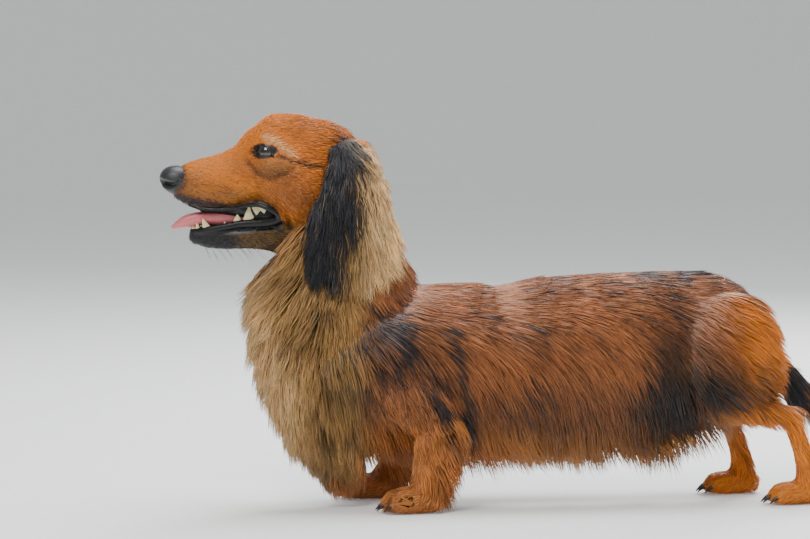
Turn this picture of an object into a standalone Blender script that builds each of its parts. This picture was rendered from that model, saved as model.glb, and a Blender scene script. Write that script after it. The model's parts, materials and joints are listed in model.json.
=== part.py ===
"""A long-haired dachshund, standing, as a still, life-size museum model.

The dog faces -X and its left side faces -Y, with +Z up and the soles of the paws at z = 0. Sizes
are in millimetres in the tables and become metres where a mesh is made. Each part of the body is
one named object: a smooth core, swept through a few stations, with the long coat fused to it as
flat, tapered locks.
"""

import math

import bmesh
import bpy
import numpy as np

MM = 0.001
GAP, COAT_GAP = 0.5, 1.0
SHORTEST_EDGE, FINE_EDGE = 1.2, 0.7
LOCK_SPREAD = 0.06
HEAD_TURN = math.radians(6.0)
NECK_PIVOT = np.array([-95.0, 0.0])
LEFT, RIGHT = -1.0, 1.0
SIDES = {"left": LEFT, "right": RIGHT}

EYE_RADIUS = 10.2
EYE_CENTRE = np.array([-162.5, 23.0, 357.0])
EYE_AHEAD = math.radians(36)
LID_WIDTH, LID_THICK = 19.5, 1.7
UPPER_LID_RISE, LOWER_LID_DROP, LID_TILT = 6.0, 4.4, -0.8
LID_MOUND_SHIFT = np.array([0.0, -0.8, 0.0])
NOSE_LENGTH, NOSE_WIDTH, NOSE_HEIGHT = 27.0, 25.0, 23.0
NOSE_CENTRE = np.array([-257.0, 0.0, 327.5])

# Core forms. A row is (x, top, bottom, half width) for a form that runs along the body, in mm.
TORSO_ROWS = [
    (-136, 172, 112, 24),
    (-122, 192, 94, 42),
    (-96, 207, 80, 55),
    (-58, 218, 70, 63),
    (-15, 226, 66, 65),
    (30, 227, 65, 66),
    (62, 224, 66, 66),
    (100, 230, 68, 66),
    (150, 234, 72, 63),
    (200, 236, 78, 59),
    (245, 236.5, 87, 54),
    (275, 235, 95, 52),
    (300, 227, 104, 50),
    (322, 211, 114, 45),
    (340, 192, 126, 34),
]
HEAD_ROWS = [
    (-251, 337, 308, 14),
    (-240, 343, 301, 17),
    (-226, 348.5, 297.5, 18.5),
    (-210, 355, 297, 20),
    (-197, 361, 298, 22.5),
    (-187, 372, 302, 26),
    (-179, 380.5, 305, 29.5),
    (-169, 388.5, 304, 33),
    (-158, 393, 296, 36),
    (-144, 394, 281, 38.5),
    (-128, 392.5, 270, 39),
    (-110, 388, 266, 38),
    (-94, 380, 269, 35),
    (-80, 369, 278, 29),
]
JAW_ROWS = [
    (-234, 281.5, 264, 10),
    (-222, 283.5, 260.5, 14.5),
    (-204, 283.5, 259.5, 16.5),
    (-186, 284.5, 260, 19),
    (-168, 286.5, 259, 23),
    (-152, 289, 256, 28),
    (-134, 288, 253, 30),
]

GUM_ROWS = [
    (-228, 304, 296, 11),
    (-206, 306, 293, 15),
    (-186, 311, 289, 18),
    (-166, 312, 280, 23),
    (-148, 302, 272, 29),
]

# A row is (x, y, z, rear or upper half, front or lower half, half width), for the left side.
NECK_PATH = [
    (-84, 0, 346, 22, 26, 26),
    (-90, 0, 322, 34, 44, 35),
    (-96, 0, 290, 48, 52, 41),
    (-97, 0, 258, 58, 60, 46),
    (-90, 0, 226, 68, 70, 51),
    (-80, 0, 196, 72, 72, 55),
    (-64, 0, 168, 66, 64, 55),
]
TAIL_PATH = [
    (306, 0, 194, 19, 19, 18),
    (330, 0, 170, 16, 16, 16),
    (352, 0, 142, 13, 14, 13),
    (374, 0, 118, 11, 12, 11),
    (402, 0, 101, 9, 11, 9),
    (436, 0, 90, 7, 9, 7),
    (468, 0, 86, 5, 6, 5),
    (494, 0, 86, 2.6, 3, 2.6),
]
UPPER_ARM_PATH = [
    (-62, -38, 156, 40, 36, 22),
    (-40, -48, 132, 38, 35, 21),
    (-12, -56, 106, 30, 28, 18),
    (8, -58, 86, 21, 20, 15),
]
FOREARM_PATH = [
    (4, -58, 94, 23, 25, 17.5),
    (2, -58, 70, 21, 25, 16.5),
    (-1, -56, 48, 19, 22, 15.5),
    (-3, -56, 30, 18, 20, 16),
    (-6, -56, 18, 17, 19, 16.5),
]
THIGH_PATH = [
    (288, -30, 196, 44, 40, 22),
    (292, -40, 172, 52, 46, 25),
    (294, -45, 146, 52, 46, 24),
    (290, -46, 120, 42, 40, 20),
    (284, -46, 102, 24, 26, 15),
]
SHANK_PATH = [
    (274, -46, 112, 18, 18, 15),
    (304, -46, 105, 18, 20, 14),
    (336, -45, 97, 13, 15, 11),
    (358, -44, 90, 10.5, 12, 9.5),
]
PASTERN_PATH = [
    (358, -44, 93, 12, 12, 10.5),
    (366, -44, 70, 11, 11.5, 10.5),
    (374, -44, 46, 11.5, 12, 11.5),
    (379, -44, 22, 13, 15, 14),
]
EAR_PATH = [
    (-93, -33, 368, 14, 13, 5),
    (-86, -43, 348, 30, 24, 5.5),
    (-84, -50, 322, 41, 32, 6),
    (-86, -53, 296, 50, 40, 6),
    (-86, -54, 270, 56, 48, 5.5),
    (-84, -53, 250, 52, 46, 4),
]
TONGUE_PATH = [
    (-256, 0, 281.0, 1.6, 1.6, 7),
    (-249, 0, 285.5, 2.2, 2.4, 10.5),
    (-239, 0, 289.5, 2.8, 3.2, 11.5),
    (-225, 0, 289.5, 4.0, 6.0, 8.6),
    (-208, 0, 289.0, 4.8, 6.5, 9.5),
    (-190, 0, 289.0, 5.0, 6.5, 10.5),
    (-172, 0, 289.0, 5.0, 5.5, 10.5),
]
EAR_CUP = 12.0

# The mass of long coat that carries the locks: the bib, the belly's fringe and the feathering.
BIB_PATH = [
    (-122, 0, 242, 24, 40, 27),
    (-124, 0, 200, 30, 47, 39),
    (-120, 0, 160, 36, 48, 46),
    (-110, 0, 120, 40, 44, 46),
    (-98, 0, 84, 40, 37, 38),
    (-90, 0, 54, 30, 26, 27),
]
FRINGE_PATH = [
    (44, -44, 72, 22, 24, 8),
    (100, -45, 70, 24, 20, 8),
    (160, -44, 74, 24, 19, 8),
    (220, -40, 82, 24, 19, 8),
    (262, -35, 90, 22, 18, 7),
]
FORE_FEATHER_PATH = [
    (24, -57, 102, 10, 12, 7),
    (26, -57, 76, 10, 14, 6),
    (20, -56, 52, 8, 14, 5),
]
HIND_FEATHER_PATH = [
    (334, -42, 152, 10, 22, 9),
    (326, -45, 128, 12, 24, 8),
    (312, -45, 104, 10, 28, 6),
]
FLAG_PATH = [
    (350, 0, 132, 6, 20, 5),
    (384, 0, 100, 12, 18, 5),
    (426, 0, 78, 14, 16, 4.5),
    (468, 0, 72, 14, 12, 3),
]

# Paws: centre x and y, length, width and height.
PAW_LENGTH, PAW_WIDTH, PAW_HEIGHT = 58.0, 40.0, 27.0
HIND_PAW_LENGTH, HIND_PAW_WIDTH, HIND_PAW_HEIGHT = 56.0, 34.0, 24.0
FORE_PAW_AHEAD, HIND_PAW_AHEAD = 16.0, 13.0
TOE_OFFSETS = ((-0.36, 0.0), (-0.13, 0.1), (0.13, 0.1), (0.36, 0.0))
CLAW_LENGTH, CLAW_RADIUS = 9.0, 2.0

# How far each leg stands from the path that its table gives, as x in mm.
STANCE = {
    ("fore", "left"): -8.0,
    ("fore", "right"): -32.0,
    ("hind", "left"): 0.0,
    ("hind", "right"): -48.0,
}

# Bumps and hollows pushed into a form: (x, |y|, z, radius, height), in mm.
HEAD_PUSHES = [
    (-164, 22, 374, 13, 3.0),
    (-180, 28, 350, 13, -3.5),
    (-140, 38, 366, 22, -5.0),
    (-132, 38, 326, 26, 4.0),
    (-196, 22, 322, 20, 2.0),
    (-174, 0, 384, 10, -3.0),
    (-226, 12, 302, 14, 1.5),
    (-90, 0, 372, 18, 3.0),
    (-163, 30, 341, 10, 2.0),
]
TORSO_PUSHES = [
    (-70, 52, 186, 40, 7.0),
    (-40, 60, 150, 40, 6.0),
    (300, 48, 186, 40, 5.0),
    (62, 66, 150, 40, 1.5),
]

COLOURS = {
    "coat_red": ((0.30, 0.115, 0.038), 0.55),
    "coat_tan": ((0.36, 0.22, 0.10), 0.55),
    "coat_dark": ((0.035, 0.032, 0.030), 0.5),
    "nose_leather": ((0.03, 0.034, 0.036), 0.35),
    "eye": ((0.012, 0.009, 0.008), 0.06),
    "tongue": ((0.62, 0.24, 0.26), 0.35),
}


def through(knots, rows, at):
    """A monotone cubic through the rows at their knots, read at each value of `at`."""
    x, y = np.asarray(knots, float), np.asarray(rows, float)
    step = np.diff(x)[:, None]
    slope = np.diff(y, axis=0) / step
    tangent = np.vstack([slope[:1], np.zeros_like(y[1:-1]), slope[-1:]])
    before, after = slope[:-1], slope[1:]
    same = before * after > 0
    weight_a, weight_b = 2 * step[1:] + step[:-1], step[1:] + 2 * step[:-1]
    safe_before, safe_after = np.where(same, before, 1), np.where(same, after, 1)
    mean = (weight_a + weight_b) / (weight_a / safe_before + weight_b / safe_after)
    tangent[1:-1] = np.where(same, mean, 0)
    at = np.asarray(at, float)
    i = np.clip(np.searchsorted(x, at, side="right") - 1, 0, len(x) - 2)
    s = ((at - x[i]) / step[i, 0])[:, None]
    start = (1 + 2 * s) * (1 - s) ** 2 * y[i] + s * (1 - s) ** 2 * step[i] * tangent[i]
    end = s**2 * (3 - 2 * s) * y[i + 1] + s**2 * (s - 1) * step[i] * tangent[i + 1]
    return start + end


def level_rows(rows):
    """Turns (x, top, bottom, half width) into (x, y, z, up, down, half width)."""
    return [(x, 0, (a + b) / 2, (a - b) / 2, (a - b) / 2, side) for x, a, b, side in rows]


def shifted(rows, dx, side):
    """The rows of the left side moved by dx, and mirrored where side is RIGHT."""
    return [(x + dx, -side * y, z, up, down, half) for x, y, z, up, down, half in rows]


class Form:
    """A closed form swept along a path through stations (x, y, z, up, down, half width).

    `square` is the power of the section's outline, 2 for an ellipse and more for a box. `egg`
    narrows the section towards its top by that share of its width. The sections of an upright
    form stay across X, whichever way its path slopes.
    """

    def __init__(self, rows, caps=(0.8, 0.8), square=2.0, egg=0.0, upright=False):
        self.rows = np.array(rows, float)
        legs = np.linalg.norm(np.diff(self.rows[:, :3], axis=0), axis=1)
        self.knots = np.concatenate([[0], np.cumsum(legs)])
        self.length = self.knots[-1]
        self.caps, self.square, self.egg, self.upright = caps, square, egg, upright

    def stations(self, t):
        """Centres, sizes and the frame (forward, up, sideways) at each share t of the length."""
        at = np.clip(np.asarray(t, float), 0, 1) * self.length
        rows = through(self.knots, self.rows, at)
        small = self.length * 1e-3
        ahead = through(self.knots, self.rows[:, :3], np.clip(at + small, 0, self.length))
        behind = through(self.knots, self.rows[:, :3], np.clip(at - small, 0, self.length))
        forward = ahead - behind
        if self.upright:
            forward[:, 1:] = 0
        forward /= np.linalg.norm(forward, axis=1, keepdims=True)
        across = np.array([0.0, 1.0, 0.0]) - forward * forward[:, 1:2]
        across /= np.linalg.norm(across, axis=1, keepdims=True)
        return rows[:, :3], rows[:, 3:], forward, np.cross(forward, across), across

    def points(self, t, angle, shrink=1.0):
        """Points of the surface at share t and angle: 0 is +Y, a quarter turn is up."""
        centre, size, _, up, across = self.stations(t)
        c, s = np.cos(angle), np.sin(angle)
        power = 2.0 / self.square
        wide = np.sign(c) * np.abs(c) ** power * size[:, 2] * (1 - self.egg * s)
        high = np.sign(s) * np.abs(s) ** power * np.where(s > 0, size[:, 0], size[:, 1])
        return centre + shrink * (across * wide[:, None] + up * high[:, None])

    def normals(self, t, angle):
        """Unit normals of the surface, by differences."""
        d = 1e-3
        along = self.points(np.minimum(t + d, 1), angle) - self.points(np.maximum(t - d, 0), angle)
        around = self.points(t, angle + d) - self.points(t, angle - d)
        normal = np.cross(around, along)
        normal /= np.linalg.norm(normal, axis=1, keepdims=True)
        centre = self.stations(t)[0]
        inwards = np.sum(normal * (self.points(t, angle) - centre), axis=1) < 0
        normal[inwards] *= -1
        return normal

    def mesh_arrays(self, rings, sides, dome_rings=1):
        """Vertices and faces: rings along the path, with a rounded dome at each end."""
        angle = 2 * np.pi * np.arange(sides) / sides
        layers = []
        _, size, forward, _, _ = self.stations(np.array([0.0, 1.0]))
        reach = np.minimum(size.mean(axis=1), size.min(axis=1) * 1.6) * np.array(self.caps)
        lift = np.pi / 2 * (1 - np.arange(1, dome_rings + 1) / (dome_rings + 0.8))
        for phi in lift:
            ring = self.points(np.zeros(sides), angle, math.cos(phi))
            layers.append(ring - forward[0] * reach[0] * math.sin(phi))
        for t in np.linspace(0, 1, rings):
            layers.append(self.points(np.full(sides, t), angle))
        for phi in lift[::-1]:
            ring = self.points(np.ones(sides), angle, math.cos(phi))
            layers.append(ring + forward[1] * reach[1] * math.sin(phi))
        start = self.stations(np.array([0.0]))[0][0] - forward[0] * reach[0]
        end = self.stations(np.array([1.0]))[0][0] + forward[1] * reach[1]
        vertices = np.vstack([*layers, start, end])
        faces = []
        for ring in range(len(layers) - 1):
            for k in range(sides):
                a, b = ring * sides + k, ring * sides + (k + 1) % sides
                faces.append((a, b, b + sides, a + sides))
        first, last, base = len(vertices) - 2, len(vertices) - 1, (len(layers) - 1) * sides
        for k in range(sides):
            faces.append((first, (k + 1) % sides, k))
            faces.append((last, base + k, base + (k + 1) % sides))
        return vertices, faces


def turned_head(points):
    """Turns points of the head about the top of the neck, towards the dog's right."""
    c, s = math.cos(-HEAD_TURN), math.sin(-HEAD_TURN)
    points = np.array(points, float)
    x, y = points[..., 0] - NECK_PIVOT[0], points[..., 1] - NECK_PIVOT[1]
    turned = points.copy()
    turned[..., 0] = NECK_PIVOT[0] + c * x - s * y
    turned[..., 1] = NECK_PIVOT[1] + s * x + c * y
    return turned


def material(name):
    """The named plain material."""
    found = bpy.data.materials.get(name)
    if found:
        return found
    colour, roughness = COLOURS[name]
    found = bpy.data.materials.new(name)
    found.use_nodes = True
    shader = found.node_tree.nodes["Principled BSDF"]
    shader.inputs["Base Color"].default_value = (*colour, 1.0)
    shader.inputs["Roughness"].default_value = roughness
    shader.inputs["Metallic"].default_value = 0.0
    found.diffuse_color = (*colour, 1.0)
    return found


def mesh_object(name, vertices, faces, slot, collection=None):
    """A mesh object from vertices in mm, with its normals pointing out."""
    mesh = bpy.data.meshes.new(name)
    mesh.from_pydata((np.asarray(vertices, float) * MM).tolist(), [], faces)
    work = bmesh.new()
    work.from_mesh(mesh)
    bmesh.ops.recalc_face_normals(work, faces=work.faces)
    bmesh.ops.triangulate(work, faces=work.faces)
    work.to_mesh(mesh)
    work.free()
    obj = bpy.data.objects.new(name, mesh)
    mesh.materials.append(material(slot))
    (collection or parts).objects.link(obj)
    return obj


def pushed(obj, pushes):
    """Raises round bumps and hollows along the normals, alike on both sides."""
    mesh = obj.data
    count = len(mesh.vertices)
    points, normals = np.empty(count * 3), np.empty(count * 3)
    mesh.vertices.foreach_get("co", points)
    mesh.vertices.foreach_get("normal", normals)
    points, normals = points.reshape(-1, 3) / MM, normals.reshape(-1, 3)
    height = np.zeros(count)
    for x, y, z, radius, rise in pushes:
        away = (points[:, 0] - x) ** 2 + (np.abs(points[:, 1]) - y) ** 2 + (points[:, 2] - z) ** 2
        height += rise * np.exp(-away / radius**2)
    mesh.vertices.foreach_set("co", ((points + normals * height[:, None]) * MM).ravel())
    mesh.update()
    return obj


def form_object(name, form, rings, sides, slot, collection=None):
    vertices, faces = form.mesh_arrays(rings, sides)
    return mesh_object(name, vertices, faces, slot, collection)


def turn_object(obj):
    """Turns an object of the head about the top of the neck."""
    count = len(obj.data.vertices)
    points = np.empty(count * 3)
    obj.data.vertices.foreach_get("co", points)
    points = turned_head(points.reshape(-1, 3) / MM) * MM
    obj.data.vertices.foreach_set("co", points.ravel())
    obj.data.update()
    return obj


def applied(obj):
    """Gives the object the mesh that its modifiers make."""
    bpy.context.view_layer.update()
    graph = bpy.context.evaluated_depsgraph_get()
    mesh = bpy.data.meshes.new_from_object(obj.evaluated_get(graph))
    obj.modifiers.clear()
    old, obj.data = obj.data, mesh
    mesh.name = obj.name
    bpy.data.meshes.remove(old)
    return obj


def remove(objects):
    for obj in list(objects):
        bpy.data.objects.remove(obj)


def boolean(obj, others, operation):
    """One Boolean of obj with all the others, applied. The others are removed."""
    others = list(others)
    if not others:
        return obj
    pool = bpy.data.collections.new("operands")
    bpy.context.scene.collection.children.link(pool)
    for other in others:
        for home in list(other.users_collection):
            home.objects.unlink(other)
        pool.objects.link(other)
    step = obj.modifiers.new("join", "BOOLEAN")
    step.operation, step.operand_type, step.collection = operation, "COLLECTION", pool
    step.solver = "MANIFOLD"
    applied(obj)
    remove(pool.objects)
    bpy.data.collections.remove(pool)
    return obj


def largest_surface(obj, shortest=SHORTEST_EDGE):
    """Keeps the closed surface that holds the most volume and drops the rest."""
    work = bmesh.new()
    work.from_mesh(obj.data)
    bmesh.ops.triangulate(work, faces=work.faces, ngon_method="EAR_CLIP")
    unseen, shells = set(work.faces), []
    while unseen:
        stack, shell = [unseen.pop()], []
        while stack:
            face = stack.pop()
            shell.append(face)
            for edge in face.edges:
                for near in edge.link_faces:
                    if near in unseen:
                        unseen.remove(near)
                        stack.append(near)
        shells.append(shell)

    def volume(shell):
        return sum(f.verts[0].co.dot(f.verts[1].co.cross(f.verts[2].co)) for f in shell) / 6

    shells.sort(key=volume)
    for shell in shells[:-1]:
        bmesh.ops.delete(work, geom=shell, context="FACES")
    work.to_mesh(obj.data)
    work.free()
    return eased(obj, shortest)


def eased(obj, shortest=SHORTEST_EDGE):
    """Pulls together the ends of the short edges that Booleans leave.

    An edge goes only where the surface stays closed and none of its faces turns over.
    """
    mesh = obj.data
    points = [v.co.copy() for v in mesh.vertices]
    faces = [list(p.vertices) for p in mesh.polygons]
    folded = {}
    for face in faces:
        folded.setdefault(frozenset(face), []).append(face)
    faces = [same[0] for same in folded.values() if len(same) == 1]
    around = [set() for _ in points]
    for index, face in enumerate(faces):
        for vertex in face:
            around[vertex].add(index)

    def normal(face, moved=(), place=None):
        a, b, c = (place if v in moved else points[v] for v in face)
        return (b - a).cross(c - a)

    for _ in range(3):
        pairs = {tuple(sorted((f[k], f[k - 1]))) for f in faces if f for k in range(3)}
        sized = sorted((((points[a] - points[b]).length, a, b) for a, b in pairs))
        gone = 0
        for _, a, b in sized:
            if (points[a] - points[b]).length > shortest * MM:
                continue
            shared = around[a] & around[b]
            near_a = {v for f in around[a] for v in faces[f]} - {a}
            near_b = {v for f in around[b] for v in faces[f]} - {b}
            wings = near_a & near_b
            if len(shared) != 2 or len(wings) != 2 or min(len(around[w]) for w in wings) < 4:
                continue
            place = (points[a] + points[b]) / 2
            safe = True
            for f in around[a] ^ around[b]:
                before, after = normal(faces[f]), normal(faces[f], (a, b), place)
                if before.length and before.dot(after) < 0.55 * before.length * after.length:
                    safe = False
                    break
                if after.length < 0.01 * MM**2:
                    safe = False
                    break
            if not safe:
                continue
            points[a] = place
            for f in shared:
                for v in faces[f]:
                    around[v].discard(f)
                faces[f] = None
            for f in list(around[b]):
                faces[f] = [a if v == b else v for v in faces[f]]
                around[a].add(f)
            around[b] = set()
            gone += 1
        faces = [f for f in faces if f]
        around = [set() for _ in points]
        for index, face in enumerate(faces):
            for vertex in face:
                around[vertex].add(index)
        if not gone:
            break
    used = sorted({v for f in faces for v in f})
    place = {v: k for k, v in enumerate(used)}
    made = bpy.data.meshes.new(mesh.name)
    made.from_pydata([points[v] for v in used], [], [[place[v] for v in f] for f in faces])
    for slot in mesh.materials:
        made.materials.append(slot)
    obj.data = made
    bpy.data.meshes.remove(mesh)
    return obj


def grown(obj, by=GAP):
    """A copy of the object that stands `by` mm proud of it, for cutting a gap."""
    copy = obj.copy()
    copy.data = obj.data.copy()
    parts.objects.link(copy)
    count = len(copy.data.vertices)
    points, normals = np.empty(count * 3), np.empty(count * 3)
    copy.data.vertices.foreach_get("co", points)
    copy.data.vertices.foreach_get("normal", normals)
    copy.data.vertices.foreach_set("co", points + normals * by * MM)
    copy.data.update()
    return copy


def cut_by(obj, neighbours, shortest=SHORTEST_EDGE):
    """Cuts obj clear of its neighbours, which stay as they are."""
    boolean(obj, [grown(other) for other in neighbours], "DIFFERENCE")
    return largest_surface(obj, shortest)


LOCK_SHARES = np.array([0.0, 0.3, 0.62, 0.86, 1.0])
LOCK_WIDTHS = np.array([0.75, 1.0, 0.85, 0.5])
LOCK_DEPTHS = np.array([1.0, 0.95, 0.75, 0.45])


def lock_arrays(root, bend, tip, out, width, depth):
    """A flat, tapered lock along the curve root, bend, tip.

    Its section is a low triangle: a flat back, and a ridge on the side that `out` points to.
    """
    s = LOCK_SHARES[:, None]
    line = (1 - s) ** 2 * root + 2 * s * (1 - s) * bend + s**2 * tip
    along = 2 * (1 - s) * (bend - root) + 2 * s * (tip - bend)
    along /= np.linalg.norm(along, axis=1, keepdims=True)
    side = np.cross(along, out)
    side /= np.linalg.norm(side, axis=1, keepdims=True)
    face = np.cross(side, along)
    wide = side[:-1] * (LOCK_WIDTHS * width / 2)[:, None]
    deep = face[:-1] * (LOCK_DEPTHS * depth)[:, None]
    rings = np.stack([line[:-1] + wide, line[:-1] + deep, line[:-1] - wide], axis=1)
    vertices = np.vstack([rings.reshape(-1, 3), line[-1:]])
    faces = [(2, 1, 0)]
    for k in range(len(LOCK_WIDTHS) - 1):
        for j in range(3):
            a, b = 3 * k + j, 3 * k + (j + 1) % 3
            faces.append((a, b, b + 3, a + 3))
    base, last = 3 * (len(LOCK_WIDTHS) - 1), len(vertices) - 1
    for j in range(3):
        faces.append((base + j, base + (j + 1) % 3, last))
    return vertices, faces


def outer(u, side):
    """The angle on a form's outer face: u is -1 at its front or lower edge, 1 at the other."""
    turn = np.arcsin(np.clip(u, -1, 1))
    return np.pi - turn if side == LEFT else turn


def locks_on(form, t, angle, length, width, lie, droop=0.5, sink=5.0, lift=0.22, depth=5.0):
    """Locks rooted on a form at each share t and angle.

    Each leaves along its lie, raised off the body by `lift`, then bends down by `droop`. Lengths,
    widths and ways vary a little from lock to lock, as in a real coat.
    """
    t, angle = np.broadcast_arrays(np.asarray(t, float), np.asarray(angle, float))
    count = t.size
    t = np.clip(t.ravel() + chance.normal(0, 0.25, count) * LOCK_SPREAD, 0.01, 0.99)
    angle = angle.ravel() + chance.normal(0, 0.05, count)
    roots, normals = form.points(t, angle), form.normals(t, angle)
    lengths = np.broadcast_to(length, count) * chance.uniform(0.86, 1.14, count)
    widths = np.broadcast_to(width, count) * chance.uniform(0.85, 1.2, count)
    ways = np.broadcast_to(lie, (count, 3)) + chance.normal(0, 0.09, (count, 3))
    made = []
    for root, normal, long, wide, way in zip(roots, normals, lengths, widths, ways):
        flat = way - normal * np.dot(way, normal)
        flat /= np.linalg.norm(flat)
        leave = flat + normal * lift
        leave /= np.linalg.norm(leave)
        fall = leave * (1 - droop) + np.array([0.0, 0.0, -1.0]) * droop
        fall /= np.linalg.norm(fall)
        bend = root + leave * long * 0.45
        start = root - normal * sink - flat * sink * 0.5
        made.append(lock_arrays(start, bend, bend + fall * long * 0.55, normal, wide, depth))
    return made


def staggered(ts, us):
    """A grid of (t, u), with every second row moved over by half a step."""
    ts, us = np.asarray(ts, float), np.asarray(us, float)
    step = us[1] - us[0] if len(us) > 1 else 0.0
    t, u = np.meshgrid(ts, us, indexing="ij")
    u = u + step * 0.5 * (np.arange(len(ts)) % 2)[:, None] - step * 0.25
    return t.ravel(), u.ravel()


def fuse(node, extra, shortest=SHORTEST_EDGE):
    """Joins closed objects to a node, and keeps it one closed body."""
    boolean(node, extra, "UNION")
    return largest_surface(node, shortest)


def lock_objects(locks, slot):
    """One object for each lock."""
    return [mesh_object("lock", v, f, slot) for v, f in locks]


def add_locks(node, locks, slot, clear_of=()):
    """Fuses locks to a node, after cutting them clear of the nodes that they would cross."""
    pieces = lock_objects(locks, slot)
    if clear_of:
        coat = boolean(pieces[0], pieces[1:], "UNION")
        pieces = [boolean(coat, [grown(other, COAT_GAP) for other in clear_of], "DIFFERENCE")]
    return fuse(node, pieces)


def start_scene():
    for obj in list(bpy.data.objects):
        bpy.data.objects.remove(obj)
    made = bpy.data.collections.new("dachshund")
    bpy.context.scene.collection.children.link(made)
    return made


TORSO = Form(level_rows(TORSO_ROWS), caps=(0.8, 0.45), square=2.15, egg=0.06, upright=True)
HEAD = Form(level_rows(HEAD_ROWS), caps=(0.55, 0.75), square=2.2, egg=0.12, upright=True)
JAW = Form(level_rows(JAW_ROWS), caps=(0.8, 0.3), square=2.3, upright=True)
GUMS = Form(level_rows(GUM_ROWS), caps=(0.4, 0.4), square=2.6, upright=True)
NECK = Form(NECK_PATH, caps=(0.3, 0.3))
TAIL = Form(TAIL_PATH, caps=(0.3, 1.0))
TONGUE = Form(TONGUE_PATH, caps=(0.4, 1.2), square=2.4)
BIB = Form(BIB_PATH, caps=(0.6, 0.8))
FLAG = Form(FLAG_PATH, caps=(0.6, 0.8))


def fringe_form(side):
    return Form(shifted(FRINGE_PATH, 0, side), caps=(0.8, 0.8), upright=True)


def ear_form(side):
    return Form(shifted(EAR_PATH, 0, side), caps=(0.6, 1.2), square=2.3)


def fore_feather(name, side):
    return Form(shifted(FORE_FEATHER_PATH, STANCE["fore", name] * 0.8, side), caps=(0.6, 0.8))


def hind_feather(name, side):
    return Form(shifted(HIND_FEATHER_PATH, STANCE["hind", name] * 0.4, side), caps=(0.6, 0.8))


def bib_locks():
    """The bib: overlapping rows from the throat to the breast."""
    locks = []
    rows = (
        (0.03, 4, 62, 50),
        (0.21, 5, 80, 56),
        (0.41, 5, 80, 62),
        (0.60, 6, 88, 62),
        (0.79, 5, 80, 54),
        (0.95, 5, 86, 38),
    )
    for t, count, spread, long in rows:
        angle = np.radians(270 + np.linspace(-spread, spread, count))
        lie = np.column_stack(
            [0.22 - 0.10 * np.sin(-angle), 0.25 * np.cos(angle), np.full(count, -1.0)]
        )
        locks += locks_on(BIB, t, angle, long, 23, lie, droop=0.45, lift=0.24, depth=6)
    return locks


def fringe_locks(side):
    """The fringe along the belly, rooted by turns high and low on its own mass."""
    t, form = np.linspace(0.02, 0.97, 13), fringe_form(side)
    high = np.arange(13) % 2 == 0
    u, long = np.where(high, 0.75, 0.1), np.where(high, 62, 44) * np.linspace(1.0, 0.8, 13)
    return locks_on(form, t, outer(u, side), long, 25, [0.42, 0.0, -1.0], 0.45, 4, 0.07)


def neck_locks(side):
    """The sides of the neck, below and behind the ear."""
    t, u = staggered((0.55, 0.88), (-0.3, 0.25, 0.8))
    t, u = np.append(t, [0.12, 0.34]), np.append(u, [0.9, 0.96])
    lie = np.column_stack([0.35 + 0.25 * u, np.zeros_like(u), np.full_like(u, -1.0)])
    return locks_on(NECK, t, outer(u, side), 52, 25, lie, droop=0.35, lift=0.10, depth=5)


def ear_locks(side):
    """The ear's long hair fans out from its base: down in front, and down and back behind."""
    t, u = staggered((0.2, 0.46, 0.7, 0.93), (-0.55, 0.05, 0.65))
    t, u = np.append(t, [0.3, 0.52, 0.75, 0.95]), np.append(u, [0.97, 0.95, 0.95, 0.9])
    lie = np.column_stack([0.10 + 0.32 * u, np.zeros_like(u), np.full_like(u, -1.0)])
    long = 50 + 8 * u
    return locks_on(ear_form(side), t, outer(u, side), long, 23, lie, 0.2, 3.0, 0.08, 4)


def fore_locks(name, side):
    t, u = staggered((0.1, 0.8), (0.1, 0.85))
    form, back = fore_feather(name, side), [0.75, 0.0, -1.0]
    locks = locks_on(form, t, outer(u, side), 32, 17, back, 0.4, 3.0, 0.12, 4)
    t, u = staggered((0.2, 0.75), (0.6,))
    return locks + locks_on(form, t, outer(u, -side), 30, 17, back, 0.4, 3.0, 0.12, 4)


def hind_locks(name, side):
    t, u = staggered((0.02, 0.45, 0.85), (0.0, 0.8))
    form, back = hind_feather(name, side), [0.6, 0.0, -1.0]
    locks = locks_on(form, t, outer(u, side), 42, 21, back, 0.4, 4.0, 0.12, 5)
    t, u = staggered((0.3, 0.8), (0.6,))
    return locks + locks_on(form, t, outer(u, -side), 36, 19, back, 0.4, 3.0, 0.12, 4)


def flag_locks():
    """The tail's flag: locks that hang back from both sides, and from its tip."""
    locks, back = [], [0.75, 0.0, -1.0]
    t, long = np.linspace(0.04, 0.98, 7), np.linspace(38, 46, 7)
    for side in SIDES.values():
        locks += locks_on(FLAG, t, outer(-0.3, side), long, 20, back, 0.3, 2.5, 0.10, 4)
    return locks


def make_torso():
    return pushed(form_object("torso", TORSO, 18, 18, "coat_red"), TORSO_PUSHES)


def make_neck():
    return form_object("neck", NECK, 7, 16, "coat_tan")


def eye_axes(side):
    """The eye's own axes on one side: the way that it looks, rearwards across it, and up."""
    look = np.array([-math.sin(EYE_AHEAD), side * math.cos(EYE_AHEAD), 0.0])
    across = np.array([math.cos(EYE_AHEAD), side * math.sin(EYE_AHEAD), 0.0])
    return look, across, np.array([0.0, 0.0, 1.0])


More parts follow.
